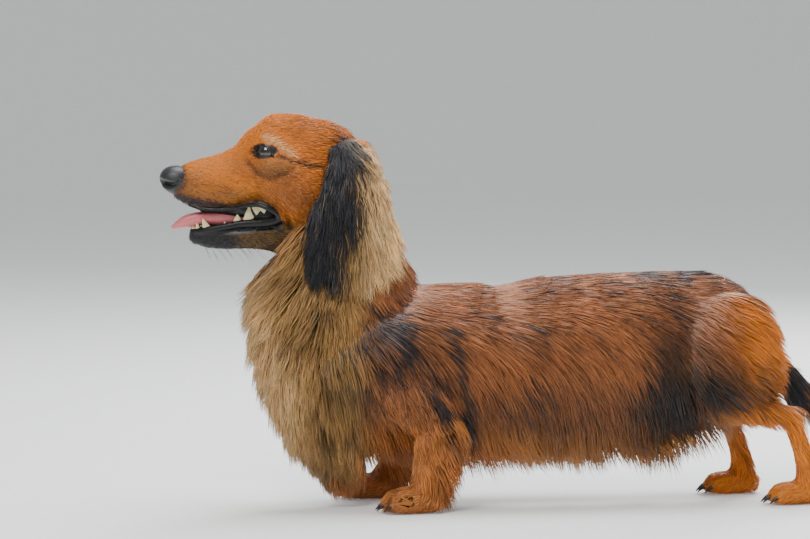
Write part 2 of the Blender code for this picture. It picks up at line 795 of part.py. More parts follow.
def ball(name, centre, radius, slot, sides=12, rings=8, stretch=(1, 1, 1)):
    """A closed ball, or an egg where it is stretched."""
    phi = np.linspace(-np.pi / 2, np.pi / 2, rings + 1)[1:-1]
    around = 2 * np.pi * np.arange(sides) / sides
    p, a = np.meshgrid(phi, around, indexing="ij")
    unit = np.stack([np.cos(p) * np.cos(a), np.cos(p) * np.sin(a), np.sin(p)], axis=-1)
    points = np.vstack([unit.reshape(-1, 3), [[0, 0, -1], [0, 0, 1]]]) * radius * stretch
    rows, faces = len(phi), []
    for r in range(rows - 1):
        for k in range(sides):
            a0, b0 = r * sides + k, r * sides + (k + 1) % sides
            faces.append((a0, b0, b0 + sides, a0 + sides))
    for k in range(sides):
        faces.append((rows * sides, (k + 1) % sides, k))
        top = (rows - 1) * sides
        faces.append((rows * sides + 1, top + k, top + (k + 1) % sides))
    return mesh_object(name, points + np.asarray(centre, float), faces, slot)


def eye_opening(side, steps=9):
    """The almond between the lids, as a prism along the way that the eye looks."""
    look, across, up = eye_axes(side)
    share = np.linspace(-1, 1, steps)
    upper = UPPER_LID_RISE * (1 - np.abs(share) ** 2.2) + LID_TILT * share
    lower = -LOWER_LID_DROP * (1 - np.abs(share) ** 2.4) + LID_TILT * share
    outline = np.vstack(
        [
            np.column_stack([share, upper]),
            np.column_stack([share[1:-1], lower[1:-1]])[::-1],
        ]
    )
    outline[:, 0] *= LID_WIDTH / 2
    centre = EYE_CENTRE * [1, side, 1]
    layers = []
    for depth, grow in ((2.0, 0.8), (EYE_RADIUS + 2.0, 1.06), (EYE_RADIUS + 14.0, 1.2)):
        flat = across * (outline[:, :1] * grow) + up * (outline[:, 1:] * grow)
        layers.append(centre + look * depth + flat)
    count = len(outline)
    faces = [tuple(range(count)), tuple(range(2 * count, 3 * count))]
    for layer in (0, count):
        for k in range(count):
            n = (k + 1) % count
            faces.append((layer + k, layer + n, layer + n + count, layer + k + count))
    return mesh_object("opening", np.vstack(layers), faces, "coat_dark")


def make_eye(side_name, side):
    return ball("eye_" + side_name, EYE_CENTRE * [1, side, 1], EYE_RADIUS, "eye", 12, 8)


def make_head():
    """The upper head, with the lids raised round each eye and the eyes' openings cut."""
    head = pushed(form_object("head", HEAD, 23, 20, "coat_red"), HEAD_PUSHES)
    mounds = [form_object("gums", GUMS, 6, 8, "coat_dark")]
    for side in SIDES.values():
        centre = (EYE_CENTRE + LID_MOUND_SHIFT) * [1, side, 1]
        mounds.append(ball("mound", centre, EYE_RADIUS + LID_THICK, "coat_red", 12, 8))
    fuse(head, mounds, FINE_EDGE)
    boolean(head, [eye_opening(side) for side in SIDES.values()], "DIFFERENCE")
    return largest_surface(head, FINE_EDGE)


def tooth(root, tip, radius, sides=6):
    """A tooth: a cone from its root to its tip."""
    root, tip = np.array(root, float), np.array(tip, float)
    along = (tip - root) / np.linalg.norm(tip - root)
    a = np.cross(along, [0.0, 1.0, 0.0])
    a /= np.linalg.norm(a)
    b = np.cross(along, a)
    angle = 2 * np.pi * np.arange(sides) / sides
    ring = np.cos(angle)[:, None] * a + np.sin(angle)[:, None] * b
    middle = root + (tip - root) * 0.55
    vertices = np.vstack([root + ring * radius, middle + ring * radius * 0.72, tip])
    faces = [tuple(range(sides))[::-1]]
    for k in range(sides):
        n = (k + 1) % sides
        faces.append((k, n, n + sides, k + sides))
        faces.append((k + sides, n + sides, 2 * sides))
    return vertices, faces


# Teeth that the open mouth shows: (x, y, z) of the root and the tip, and the radius, on the left.
LOWER_TEETH = [
    ((-222, -11.0, 280), (-226, -12.0, 291.0), 2.6),
    ((-233, -1.9, 278), (-235.5, -2.0, 285.5), 1.6),
    ((-231, -5.4, 278), (-233.0, -5.7, 286), 1.7),
    ((-192, -15.0, 280), (-192.5, -15.0, 289), 2.4),
    ((-182, -16.5, 280), (-182.5, -16.5, 289.5), 2.8),
]
UPPER_TEETH = [
    ((-233, -11.5, 303), (-231, -12.5, 293.0), 2.6),
    ((-188, -17.5, 306), (-188.5, -18.0, 294), 3.4),
    ((-176, -20.5, 308), (-176.5, -21.0, 296), 4.0),
]


def teeth(rows):
    made = []
    for root, tip, radius in rows:
        for side in (1, -1):
            flip = np.array([1, side, 1])
            made.append(tooth(np.array(root) * flip, np.array(tip) * flip, radius, 5))
    return made


def make_nose():
    """The nose leather: a blunt pad, with a nostril and a slit on each side."""
    half = (NOSE_LENGTH / 2, NOSE_WIDTH / 2, NOSE_HEIGHT / 2)
    turn = np.linspace(-np.pi / 2, np.pi / 2, 9)[1:-1]
    around = 2 * np.pi * np.arange(14) / 14
    vertices, faces = [], []
    for phi in turn:
        c, s = math.cos(phi), math.sin(phi)
        for a in around:
            wide = np.sign(math.cos(a)) * abs(math.cos(a)) ** 0.85 * c**0.7
            high = np.sign(math.sin(a)) * abs(math.sin(a)) ** 0.85 * c**0.7
            narrow = 1 - 0.16 * max(0.0, -math.sin(a))
            vertices.append((s * half[0], wide * half[1] * narrow, high * half[2]))
    rings, sides = len(turn), len(around)
    for r in range(rings - 1):
        for k in range(sides):
            a, b = r * sides + k, r * sides + (k + 1) % sides
            faces.append((a, b, b + sides, a + sides))
    vertices += [(-half[0], 0, 0), (half[0], 0, 0)]
    first, last, base = len(vertices) - 2, len(vertices) - 1, (rings - 1) * sides
    for k in range(sides):
        faces.append((first, (k + 1) % sides, k))
        faces.append((last, base + k, base + (k + 1) % sides))
    vertices = np.array(vertices) + NOSE_CENTRE
    nose = mesh_object("nose", vertices, faces, "nose_leather")
    holes = []
    for side in (-1, 1):
        well = [
            ((-272, 4.6, 326.5), 3.0),
            ((-266, 6.0, 326), 3.0),
            ((-262, 9.0, 325), 2.2),
            ((-258, 14.5, 325.5), 1.5),
        ]
        rows = [(x, y * side, z, r, r, r) for (x, y, z), r in well]
        holes.append(form_object("nostril", Form(rows, caps=(0.8, 0.8)), 5, 6, "nose_leather"))
    boolean(nose, holes, "DIFFERENCE")
    return largest_surface(nose, FINE_EDGE)


def make_paw(side_name, centre, length, width, height):
    """A paw: a low pad with four toes and their claws, flat underneath. Returns its pieces."""
    x, y = centre
    pieces = []
    pad = [
        (x + length * 0.34, y, height * 0.46, height * 0.44, height * 0.52, width * 0.34),
        (x + length * 0.10, y, height * 0.48, height * 0.54, height * 0.58, width * 0.46),
        (x - length * 0.16, y, height * 0.44, height * 0.50, height * 0.56, width * 0.47),
    ]
    pieces.append(form_object("pad", Form(pad, caps=(0.8, 0.6)), 4, 10, "coat_red"))
    for across, ahead in TOE_OFFSETS:
        ty, reach = y + across * width, length * (0.40 + ahead)
        toe = [
            (x - length * 0.05, ty, height * 0.48, height * 0.42, height * 0.50, width * 0.14),
            (x - reach * 0.72, ty, height * 0.44, height * 0.44, height * 0.52, width * 0.145),
            (x - reach, ty, height * 0.30, height * 0.30, height * 0.38, width * 0.125),
        ]
        pieces.append(form_object("toe", Form(toe, caps=(0.5, 0.8)), 3, 5, "coat_red"))
        root = (x - reach - height * 0.12, ty, height * 0.34)
        tip = (root[0] - CLAW_LENGTH, ty, 2.0)
        v, f = tooth(root, tip, CLAW_RADIUS, 3)
        pieces.append(mesh_object("claw", v, f, "coat_dark"))
    return pieces


def flat_soles(leg, centre, length, width):
    """Cuts the paw level at z = 0."""
    x, y = centre
    low = [(x - length, y, -20, 20, 20, width), (x + length, y, -20, 20, 20, width)]
    (x0, y0, _, _, _, w), (x1, _, _, _, _, _) = low
    corners = [
        (xx, y0 + sy * w, zz) for xx in (x0, x1) for sy in (-1, 1) for zz in (-40.0, 0.0)
    ]
    faces = [(0, 1, 3, 2), (4, 6, 7, 5), (0, 4, 5, 1), (2, 3, 7, 6), (0, 2, 6, 4), (1, 5, 7, 3)]
    block = mesh_object("sole", corners, faces, "coat_red")
    return boolean(leg, [block], "DIFFERENCE")


def make_foreleg(side_name, side):
    dx = STANCE["fore", side_name]
    name = "foreleg_" + side_name
    arm = Form(shifted(UPPER_ARM_PATH, dx * 0.3, side), caps=(0.5, 0.8))
    fore_rows = shifted(FOREARM_PATH, 0, side)
    count = len(fore_rows)
    rows = []
    for k, row in enumerate(fore_rows):
        share = 0.3 + 0.7 * k / (count - 1)
        rows.append((row[0] + dx * share, *row[1:]))
    forearm = Form(rows, caps=(0.6, 0.6))
    leg = form_object(name, arm, 6, 12, "coat_red")
    pieces = [form_object("forearm", forearm, 5, 11, "coat_red")]
    centre = (rows[-1][0] - FORE_PAW_AHEAD + 8, rows[-1][1])
    pieces += make_paw(side_name, centre, PAW_LENGTH, PAW_WIDTH, PAW_HEIGHT)
    fuse(leg, pieces)
    flat_soles(leg, centre, PAW_LENGTH, PAW_WIDTH)
    return largest_surface(leg), arm, forearm


def make_hindleg(side_name, side):
    dx = STANCE["hind", side_name]
    name = "hindleg_" + side_name
    thigh = Form(shifted(THIGH_PATH, dx * 0.1, side), caps=(0.5, 0.5))
    shank_rows = shifted(SHANK_PATH, 0, side)
    moved = []
    for k, row in enumerate(shank_rows):
        share = 0.1 + 0.9 * k / (len(shank_rows) - 1)
        moved.append((row[0] + dx * share, *row[1:]))
    shank = Form(moved, caps=(0.6, 0.8))
    pastern = Form(shifted(PASTERN_PATH, dx, side), caps=(0.8, 0.5))
    leg = form_object(name, thigh, 7, 14, "coat_red")
    pieces = [form_object("shank", shank, 5, 10, "coat_red")]
    pieces.append(form_object("pastern", pastern, 4, 10, "coat_red"))
    foot = pastern.rows[-1]
    centre = (foot[0] - HIND_PAW_AHEAD + 4, foot[1])
    pieces += make_paw(side_name, centre, HIND_PAW_LENGTH, HIND_PAW_WIDTH, HIND_PAW_HEIGHT)
    fuse(leg, pieces)
    flat_soles(leg, centre, HIND_PAW_LENGTH, HIND_PAW_WIDTH)
    return largest_surface(leg), thigh, pastern


def make_ear(side_name, side):
    """An ear: a hanging leaf that is cupped towards the head, without its locks."""
    form = ear_form(side)
    vertices, faces = form.mesh_arrays(8, 11)
    knots, rows = form.rows[::-1, 2], form.rows[::-1]
    middle = through(knots, rows[:, :1], vertices[:, 2])[:, 0]
    half = through(knots, rows[:, 4:5], vertices[:, 2])[:, 0]
    offset = np.clip(np.abs(vertices[:, 0] - middle) / half, 0, 1.1)
    vertices[:, 1] -= side * EAR_CUP * offset**2 * 0.5
    return mesh_object("ear_" + side_name, vertices, faces, "coat_dark")


parts = start_scene()
chance = np.random.default_rng(11)


def rest_on_origin(objects):
    """Parents everything to an empty, so that the whole stands on the middle of its own base."""
    low, high = np.full(3, np.inf), np.full(3, -np.inf)
    for obj in objects:
        points = np.empty(len(obj.data.vertices) * 3)
        obj.data.vertices.foreach_get("co", points)
        points = points.reshape(-1, 3)
        low, high = np.minimum(low, points.min(axis=0)), np.maximum(high, points.max(axis=0))
    root = bpy.data.objects.new("root", None)
    parts.objects.link(root)
    middle = (low + high) / 2
    root.location = (-middle[0], -middle[1], -low[2])
    for obj in objects:
        obj.parent = root


def main():
    torso, neck, head = make_torso(), make_neck(), make_head()
    jaw = form_object("lower_jaw", JAW, 9, 12, "coat_red")
    nose = make_nose()
    tongue = form_object("tongue", TONGUE, 9, 8, "tongue")
    eyes = [make_eye(name, side) for name, side in SIDES.items()]
    ears = [make_ear(name, side) for name, side in SIDES.items()]
    forelegs = [make_foreleg(name, side)[0] for name, side in SIDES.items()]
    hindlegs = [make_hindleg(name, side)[0] for name, side in SIDES.items()]
    tail = form_object("tail", TAIL, 10, 9, "coat_dark")

    fuse(torso, [form_object("bib", BIB, 6, 11, "coat_tan")])
    fuse(head, lock_objects(teeth(UPPER_TEETH), "coat_tan"), FINE_EDGE)
    fuse(jaw, lock_objects(teeth(LOWER_TEETH), "coat_tan"), FINE_EDGE)
    cut_by(head, [*eyes, nose, tongue], FINE_EDGE)
    cut_by(jaw, [head, tongue], FINE_EDGE)
    for obj in [head, jaw, nose, tongue, *eyes]:
        turn_object(obj)

    cut_by(torso, [jaw])
    for leg in forelegs + hindlegs:
        cut_by(leg, [torso])
    cut_by(neck, [torso, head, jaw])
    for ear in ears:
        cut_by(ear, [head, jaw, neck, torso])
    cut_by(tail, [torso, *hindlegs])

    below = [form_object("fringe", fringe_form(side), 5, 8, "coat_red") for side in SIDES.values()]
    coat = bib_locks()
    for side in SIDES.values():
        coat += fringe_locks(side)
    pieces = below + lock_objects(coat, "coat_tan")
    coat = boolean(pieces[0], pieces[1:], "UNION")
    near = [head, jaw, neck, *ears, *forelegs, *hindlegs]
    fuse(torso, [boolean(coat, [grown(obj, COAT_GAP) for obj in near], "DIFFERENCE")])

    coat = [lock for side in SIDES.values() for lock in neck_locks(side)]
    add_locks(neck, coat, "coat_tan", [torso, head, jaw, *ears, *forelegs])
    for ear, side in zip(ears, SIDES.values()):
        add_locks(ear, ear_locks(side), "coat_dark", [head, jaw, neck, torso])
    for leg, (name, side) in zip(forelegs, SIDES.items()):
        feather = form_object("feather", fore_feather(name, side), 4, 8, "coat_red")
        pieces = [feather, *lock_objects(fore_locks(name, side), "coat_red")]
        coat = boolean(pieces[0], pieces[1:], "UNION")
        fuse(leg, [boolean(coat, [grown(obj, COAT_GAP) for obj in (torso, neck)], "DIFFERENCE")])
    for leg, (name, side) in zip(hindlegs, SIDES.items()):
        feather = form_object("feather", hind_feather(name, side), 4, 8, "coat_red")
        pieces = [feather, *lock_objects(hind_locks(name, side), "coat_red")]
        coat = boolean(pieces[0], pieces[1:], "UNION")
        fuse(leg, [boolean(coat, [grown(obj, COAT_GAP) for obj in (torso, tail)], "DIFFERENCE")])
    pieces = [form_object("flag", FLAG, 6, 8, "coat_dark"), *lock_objects(flag_locks(), "coat_dark")]
    coat = boolean(pieces[0], pieces[1:], "UNION")
    fuse(tail, [boolean(coat, [grown(obj, COAT_GAP) for obj in (torso, *hindlegs)], "DIFFERENCE")])
    rest_on_origin([torso, neck, head, jaw, nose, tongue, *eyes, *ears, *forelegs, *hindlegs, tail])


main()
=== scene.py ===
# %% [markdown]
# # A long-haired dachshund, standing
#
# This lesson dresses a plain, solid model of a dachshund with what makes it look alive: one skin
# without seams, a long coat of many thin tufts, wet eyes, a leathery nose, and an open mouth with
# lips, teeth and tongue. The solids stay as the frame: each new piece is placed from the same
# named sizes, in the same space, and rides on the same body.

# %% Load the frame
import json
import math

import bmesh
import bpy
import numpy as np
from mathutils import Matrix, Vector

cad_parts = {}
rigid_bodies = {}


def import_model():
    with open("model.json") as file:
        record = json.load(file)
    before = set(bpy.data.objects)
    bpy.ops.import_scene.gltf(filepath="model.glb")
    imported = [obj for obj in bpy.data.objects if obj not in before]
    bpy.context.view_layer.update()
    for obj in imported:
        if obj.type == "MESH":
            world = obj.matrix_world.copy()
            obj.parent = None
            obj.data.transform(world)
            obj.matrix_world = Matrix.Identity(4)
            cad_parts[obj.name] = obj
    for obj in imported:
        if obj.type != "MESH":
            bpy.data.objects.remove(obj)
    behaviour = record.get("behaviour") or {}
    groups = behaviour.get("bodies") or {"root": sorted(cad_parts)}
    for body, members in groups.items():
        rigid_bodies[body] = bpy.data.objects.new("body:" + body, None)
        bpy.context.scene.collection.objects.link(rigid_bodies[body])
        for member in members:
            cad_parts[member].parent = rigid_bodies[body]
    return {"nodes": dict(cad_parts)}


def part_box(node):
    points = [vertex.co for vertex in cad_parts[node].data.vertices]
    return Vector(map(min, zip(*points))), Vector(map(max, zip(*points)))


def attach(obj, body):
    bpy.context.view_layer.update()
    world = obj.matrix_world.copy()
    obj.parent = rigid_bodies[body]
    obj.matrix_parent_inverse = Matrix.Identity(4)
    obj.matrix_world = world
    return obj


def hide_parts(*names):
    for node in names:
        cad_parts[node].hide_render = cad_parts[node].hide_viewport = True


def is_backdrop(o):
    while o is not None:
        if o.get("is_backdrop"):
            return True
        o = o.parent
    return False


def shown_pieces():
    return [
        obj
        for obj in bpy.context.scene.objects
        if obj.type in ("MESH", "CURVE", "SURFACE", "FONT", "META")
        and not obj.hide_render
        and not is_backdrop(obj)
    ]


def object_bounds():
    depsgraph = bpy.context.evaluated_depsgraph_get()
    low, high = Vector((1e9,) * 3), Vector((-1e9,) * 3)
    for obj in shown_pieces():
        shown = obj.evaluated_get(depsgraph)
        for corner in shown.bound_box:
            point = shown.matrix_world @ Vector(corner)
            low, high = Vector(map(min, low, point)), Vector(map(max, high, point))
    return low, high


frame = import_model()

cad_low, cad_high = (np.array(corner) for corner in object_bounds())
print("solids:", len(frame["nodes"]), "nodes, box", np.round(cad_high - cad_low, 4))

# %% [markdown]
# ## Sizes
#
# The dog faces -X, its left side faces -Y, and all sizes below are in millimetres, measured from
# the middle plane and from the floor. The solids were built from the same tables and then moved,
# so that their base is centred. The eye is a ball of known centre, so the box of its node tells
# how far that move was.

# %% Driving sizes
MM = 0.001
LEFT, RIGHT = -1.0, 1.0
SIDES = {"left": LEFT, "right": RIGHT}
HEAD_TURN = math.radians(6.0)
NECK_PIVOT = np.array([-95.0, 0.0])
EYE_RADIUS = 10.2
EYE_CENTRE = np.array([-162.5, 23.0, 357.0])
EYE_AHEAD = math.radians(36)
LID_INWARD, LID_OUTWARD = 13.0, 11.5
UPPER_LID_RISE, LOWER_LID_DROP, LID_FALL = 7.6, 4.0, 4.6
NOSE_LENGTH, NOSE_WIDTH, NOSE_HEIGHT = 32.0, 31.0, 31.0
NOSE_CENTRE = np.array([-254.0, 0.0, 327.0])
UP = np.array([0.0, 0.0, 1.0])
chance = np.random.default_rng(7)


def swung(points, angle):
    """Turns points about the neck's upright axis: x cos - y sin, and x sin + y cos."""
    c, s = math.cos(angle), math.sin(angle)
    points = np.array(points, float)
    x, y = points[..., 0] - NECK_PIVOT[0], points[..., 1] - NECK_PIVOT[1]
    points[..., 0] = NECK_PIVOT[0] + c * x - s * y
    points[..., 1] = NECK_PIVOT[1] + s * x + c * y
    return points


def turned_head(points):
    """Points of the straight head, moved to where the standing dog holds it."""
    return swung(points, -HEAD_TURN)


def turned_way(ways):
    """Directions of the straight head, turned as the head is turned."""
    return turned_head(ways + [*NECK_PIVOT, 0.0]) - [*NECK_PIVOT, 0.0]


def unturned(points):
    """Points of the standing dog, moved back to the head's own straight axes."""
    return swung(points, HEAD_TURN)


eye_place = (np.array(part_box("eye_left")[0]) + np.array(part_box("eye_left")[1])) / 2
SHIFT = eye_place / MM - turned_head(EYE_CENTRE * [1, LEFT, 1])
print("the solids stand", np.round(SHIFT, 2), "mm from the tables")

# %% [markdown]
# ## A body as swept forms
#
# A limb, a neck or a trunk is close to a tube whose section changes along its way. So each is a
# table of stations, and a smooth curve through the table gives the section anywhere between.
# A monotone cubic is used for that curve, because it never swells past the stations.

# %% Curves through stations
def through(knots, rows, at):
    """A cubic through the rows at their knots, flat wherever the rows turn back."""
    x, y = np.asarray(knots, float), np.asarray(rows, float)
    step = np.diff(x)[:, None]
    slope = np.diff(y, axis=0) / step
    tangent = np.vstack([slope[:1], np.zeros_like(y[1:-1]), slope[-1:]])
    before, after = slope[:-1], slope[1:]
    same = before * after > 0
    weight_a, weight_b = 2 * step[1:] + step[:-1], step[1:] + 2 * step[:-1]
    safe_before, safe_after = np.where(same, before, 1), np.where(same, after, 1)
    mean = (weight_a + weight_b) / (weight_a / safe_before + weight_b / safe_after)
    tangent[1:-1] = np.where(same, mean, 0)
    at = np.asarray(at, float)
    i = np.clip(np.searchsorted(x, at, side="right") - 1, 0, len(x) - 2)
    s = ((at - x[i]) / step[i, 0])[:, None]
    start = (1 + 2 * s) * (1 - s) ** 2 * y[i] + s * (1 - s) ** 2 * step[i] * tangent[i]
    end = s**2 * (3 - 2 * s) * y[i + 1] + s**2 * (s - 1) * step[i] * tangent[i + 1]
    return start + end


def unit(vectors):
    """The same directions, each of length one."""
    return vectors / np.maximum(np.linalg.norm(vectors, axis=-1, keepdims=True), 1e-9)


def smooth_step(value, low, high):
    """0 below low, 1 above high, and an even S between."""
    s = np.clip((value - low) / (high - low), 0, 1)
    return s * s * (3 - 2 * s)


print("a curve from 0 to 10, a quarter along:", through([0, 1], [[0], [10]], [0.25])[0, 0])

# %% [markdown]
# The tube itself is a class, so that skin, coat and markings can all ask one form for its centre,
# its size and its surface at any place.

# %% The swept form
class Form:
    """A tube along a path: point(t, a) = centre(t) + across * wide(a) + up * high(a).

    wide and high follow a superellipse, |cos a| and |sin a| to the power 2 / square. Angle 0 is
    +Y and a quarter turn is up, or the rear on a form that runs downwards.
    """

    def __init__(self, rows, caps=(0.8, 0.8), square=2.0, egg=0.0, upright=False):
        """Rows of (x, y, z, up or rear half, down or front half, half width), in mm."""
        self.rows = np.array(rows, float)
        legs = np.linalg.norm(np.diff(self.rows[:, :3], axis=0), axis=1)
        self.knots = np.concatenate([[0], np.cumsum(legs)])
        self.length = self.knots[-1]
        self.caps, self.square, self.egg, self.upright = caps, square, egg, upright

    def thinner(self, by):
        """The same form with its surface moved in by `by` mm all round."""
        rows = self.rows.copy()
        rows[:, 3:] = np.maximum(rows[:, 3:] - by, 1.2)
        return Form(rows, self.caps, self.square, self.egg, self.upright)

    def stations(self, t):
        """Centres, sizes and the frame (forward, up, across) at each share t of the length."""
        at = np.clip(np.asarray(t, float), 0, 1) * self.length
        rows = through(self.knots, self.rows, at)
        small = self.length * 1e-3
        ahead = through(self.knots, self.rows[:, :3], np.clip(at + small, 0, self.length))
        behind = through(self.knots, self.rows[:, :3], np.clip(at - small, 0, self.length))
        forward = ahead - behind
        if self.upright:
            forward[:, 1:] = 0
        forward = unit(forward)
        across = unit(np.array([0.0, 1.0, 0.0]) - forward * forward[:, 1:2])
        return rows[:, :3], rows[:, 3:], forward, np.cross(forward, across), across

    def points(self, t, angle, shrink=1.0):
        """Points of the surface at share t and angle."""
        centre, size, _, up, across = self.stations(t)
        c, s = np.cos(angle), np.sin(angle)
        power = 2.0 / self.square
        wide = np.sign(c) * np.abs(c) ** power * size[:, 2] * (1 - self.egg * s)
        high = np.sign(s) * np.abs(s) ** power * np.where(s > 0, size[:, 0], size[:, 1])
        return centre + shrink * (across * wide[:, None] + up * high[:, None])

    def shell(self, rings, sides, dome=5):
        """Points and faces of the closed form: rings along the path and a dome at each end."""
        angle = 2 * np.pi * np.arange(sides) / sides
        size, forward = self.stations(np.array([0.0, 1.0]))[1:3]
        reach = np.minimum(size.mean(axis=1), size.min(axis=1) * 1.6) * np.array(self.caps)
        lift = np.pi / 2 * np.arange(dome, 0, -1) / (dome + 0.8)
        share = np.concatenate([np.zeros(dome), np.linspace(0, 1, rings), np.ones(dome)])
        shrink = np.concatenate([np.cos(lift), np.ones(rings), np.cos(lift[::-1])])
        grid = self.points(np.repeat(share, sides), np.tile(angle, len(share)),
                           np.repeat(shrink, sides)[:, None]).reshape(len(share), sides, 3)
        grid[:dome] -= forward[0] * reach[0] * np.sin(lift)[:, None, None]
        grid[-dome:] += forward[1] * reach[1] * np.sin(lift[::-1])[:, None, None]
        ends = self.stations(np.array([0.0, 1.0]))[0] + forward * reach[:, None] * [[-1], [1]]
        return capped(grid, ends)


def capped(grid, ends):
    """A closed tube from a grid (ring, side): quads between rings, and a fan at each end."""
    rings, sides = grid.shape[:2]
    k = np.arange(sides)
    n = (k + 1) % sides
    base = np.arange(rings - 1)[:, None] * sides
    quads = np.stack([base + k, base + n, base + n + sides, base + k + sides], axis=-1)
    first, last, top = rings * sides, rings * sides + 1, (rings - 1) * sides
    fans = np.vstack([
        np.column_stack([np.full(sides, first), n, k]),
        np.column_stack([np.full(sides, last), top + k, top + n]),
    ])
    return np.vstack([grid.reshape(-1, 3), ends]), [quads.reshape(-1, 4), fans]


# %% [markdown]
# ### The tables of the body
#
# A row of the first kind is (x, top, bottom, half width), for a form that runs along the body. A
# row of the second is (x, y, z, upper or rear half, lower or front half, half width), for the
# left side of the body, and the right side mirrors it.

# %% Trunk, head and jaw
def level_rows(rows):
    """Turns (x, top, bottom, half width) into (x, y, z, up, down, half width)."""
    return [(x, 0, (a + b) / 2, (a - b) / 2, (a - b) / 2, half) for x, a, b, half in rows]


TORSO = Form(level_rows([
    (-136, 172, 112, 24), (-122, 192, 94, 42), (-96, 207, 80, 55), (-58, 218, 70, 63),
    (-15, 226, 66, 65), (30, 227, 65, 66), (62, 224, 66, 66), (100, 230, 68, 66),
    (150, 234, 72, 63), (200, 236, 78, 59), (245, 236.5, 87, 54), (275, 235, 95, 52),
    (300, 227, 104, 50), (322, 211, 114, 45), (340, 192, 126, 34),
]), caps=(0.8, 0.45), square=2.15, egg=0.06, upright=True)
HEAD = Form(level_rows([
    (-251, 341, 308, 14), (-240, 346.5, 301, 17), (-226, 350.5, 297.5, 18.5), (-210, 355, 297, 20),
    (-197, 361, 298, 22.5), (-187, 372, 302, 26), (-179, 380.5, 305, 29.5), (-169, 388.5, 304, 33),
    (-158, 393, 296, 36), (-144, 394, 281, 38.5), (-128, 392.5, 270, 39), (-110, 388, 266, 38),
    (-94, 380, 269, 35), (-80, 369, 278, 29),
]), caps=(0.55, 0.75), square=2.2, egg=0.12, upright=True)
JAW = Form(level_rows([
    (-234, 281.5, 264, 10), (-222, 283.5, 260.5, 14.5), (-204, 283.5, 259.5, 16.5),
    (-186, 284.5, 260, 19), (-168, 286.5, 259, 23), (-152, 289, 256, 28), (-134, 288, 253, 30),
]), caps=(0.8, 0.3), square=2.3, upright=True)
GUMS = Form(level_rows([
    (-228, 304, 296, 11), (-206, 306, 293, 15), (-186, 311, 289, 18), (-166, 312, 280, 23),
    (-148, 302, 272, 29),
]), caps=(0.4, 0.4), square=2.6, upright=True)
print("lengths of trunk, head and jaw:", *(round(form.length) for form in (TORSO, HEAD, JAW)))

# %% Neck, tail, bib and tongue
NECK = Form([
    (-84, 0, 346, 22, 26, 26), (-90, 0, 322, 34, 44, 35), (-96, 0, 290, 48, 52, 41),
    (-97, 0, 258, 58, 60, 46), (-90, 0, 226, 68, 70, 51), (-80, 0, 196, 72, 72, 55),
    (-64, 0, 168, 66, 64, 55),
], caps=(0.3, 0.3))
TAIL = Form([
    (306, 0, 194, 19, 19, 18), (330, 0, 170, 16, 16, 16), (352, 0, 142, 13, 14, 13),
    (374, 0, 118, 11, 12, 11), (402, 0, 101, 9, 11, 9), (436, 0, 90, 7, 9, 7),
    (468, 0, 86, 5, 6, 5), (494, 0, 86, 2.6, 3, 2.6),
], caps=(0.3, 1.0))
BIB = Form([
    (-122, 0, 242, 24, 40, 27), (-124, 0, 200, 30, 47, 39), (-120, 0, 160, 36, 48, 46),
    (-110, 0, 120, 40, 44, 46), (-98, 0, 84, 40, 37, 38), (-90, 0, 54, 30, 26, 27),
], caps=(0.6, 0.8))
TONGUE = Form([
    (-256.5, 0, 281.0, 2.4, 2.4, 6.5), (-251, 0, 284.0, 4.2, 5.0, 10),
    (-243, 0, 287.8, 5.4, 7.4, 11.5), (-233, 0, 290.6, 5.0, 8.5, 11.0),
    (-221, 0, 291.6, 4.8, 8.5, 9.0), (-208, 0, 291.6, 5.2, 10.0, 10.5),
    (-190, 0, 291.0, 6.0, 9.0, 12.5), (-172, 0, 290.0, 5.5, 8.0, 13.5),
], caps=(0.6, 1.2), square=2.4)
print("lengths of neck, tail and tongue:", *(round(form.length) for form in (NECK, TAIL, TONGUE)))

# %% Legs and ears
UPPER_ARM = [
    (-62, -38, 156, 40, 36, 22), (-40, -48, 132, 38, 35, 21), (-12, -56, 106, 30, 28, 18),
    (8, -58, 86, 21, 20, 15),
]
FOREARM = [
    (4, -58, 94, 23, 25, 17.5), (2, -58, 70, 21, 25, 16.5), (-1, -56, 48, 19, 22, 15.5),
    (-3, -56, 30, 18, 20, 16), (-6, -56, 18, 17, 19, 16.5),
]
THIGH = [
    (288, -30, 196, 44, 40, 22), (292, -40, 172, 52, 46, 25), (294, -45, 146, 52, 46, 24),
    (290, -46, 120, 42, 40, 20), (284, -46, 102, 24, 26, 15),
]
SHANK = [
    (274, -46, 112, 18, 18, 15), (304, -46, 105, 18, 20, 14), (336, -45, 97, 13, 15, 11),
    (358, -44, 90, 10.5, 12, 9.5),
]
PASTERN = [
    (358, -44, 93, 12, 12, 10.5), (366, -44, 70, 11, 11.5, 10.5), (374, -44, 46, 11.5, 12, 11.5),
    (379, -44, 22, 13, 15, 14),
]
EAR = [
    (-93, -33, 368, 14, 13, 5), (-86, -43, 348, 30, 24, 5.5), (-84, -50, 322, 41, 32, 6),
    (-86, -53, 296, 50, 40, 6), (-86, -54, 270, 56, 48, 5.5), (-84, -53, 250, 52, 46, 4),
]
EAR_CUP = 12.0
STANCE = {
    ("fore", "left"): -8.0, ("fore", "right"): -32.0,
    ("hind", "left"): 0.0, ("hind", "right"): -48.0,
}
# A paw: how far it stands ahead of its leg's end, and its length, width and height.
PAW_SIZES = {"fore_paw": (8.0, 58.0, 40.0, 27.0), "hind_paw": (9.0, 56.0, 34.0, 24.0)}
LEG_ENDS = {"fore_paw": "forearm", "hind_paw": "pastern"}
TOE_OFFSETS = ((-0.36, 0.0), (-0.13, 0.1), (0.13, 0.1), (0.36, 0.0))
print("stance, mm rearwards:", {" ".join(leg): moved for leg, moved in STANCE.items()})

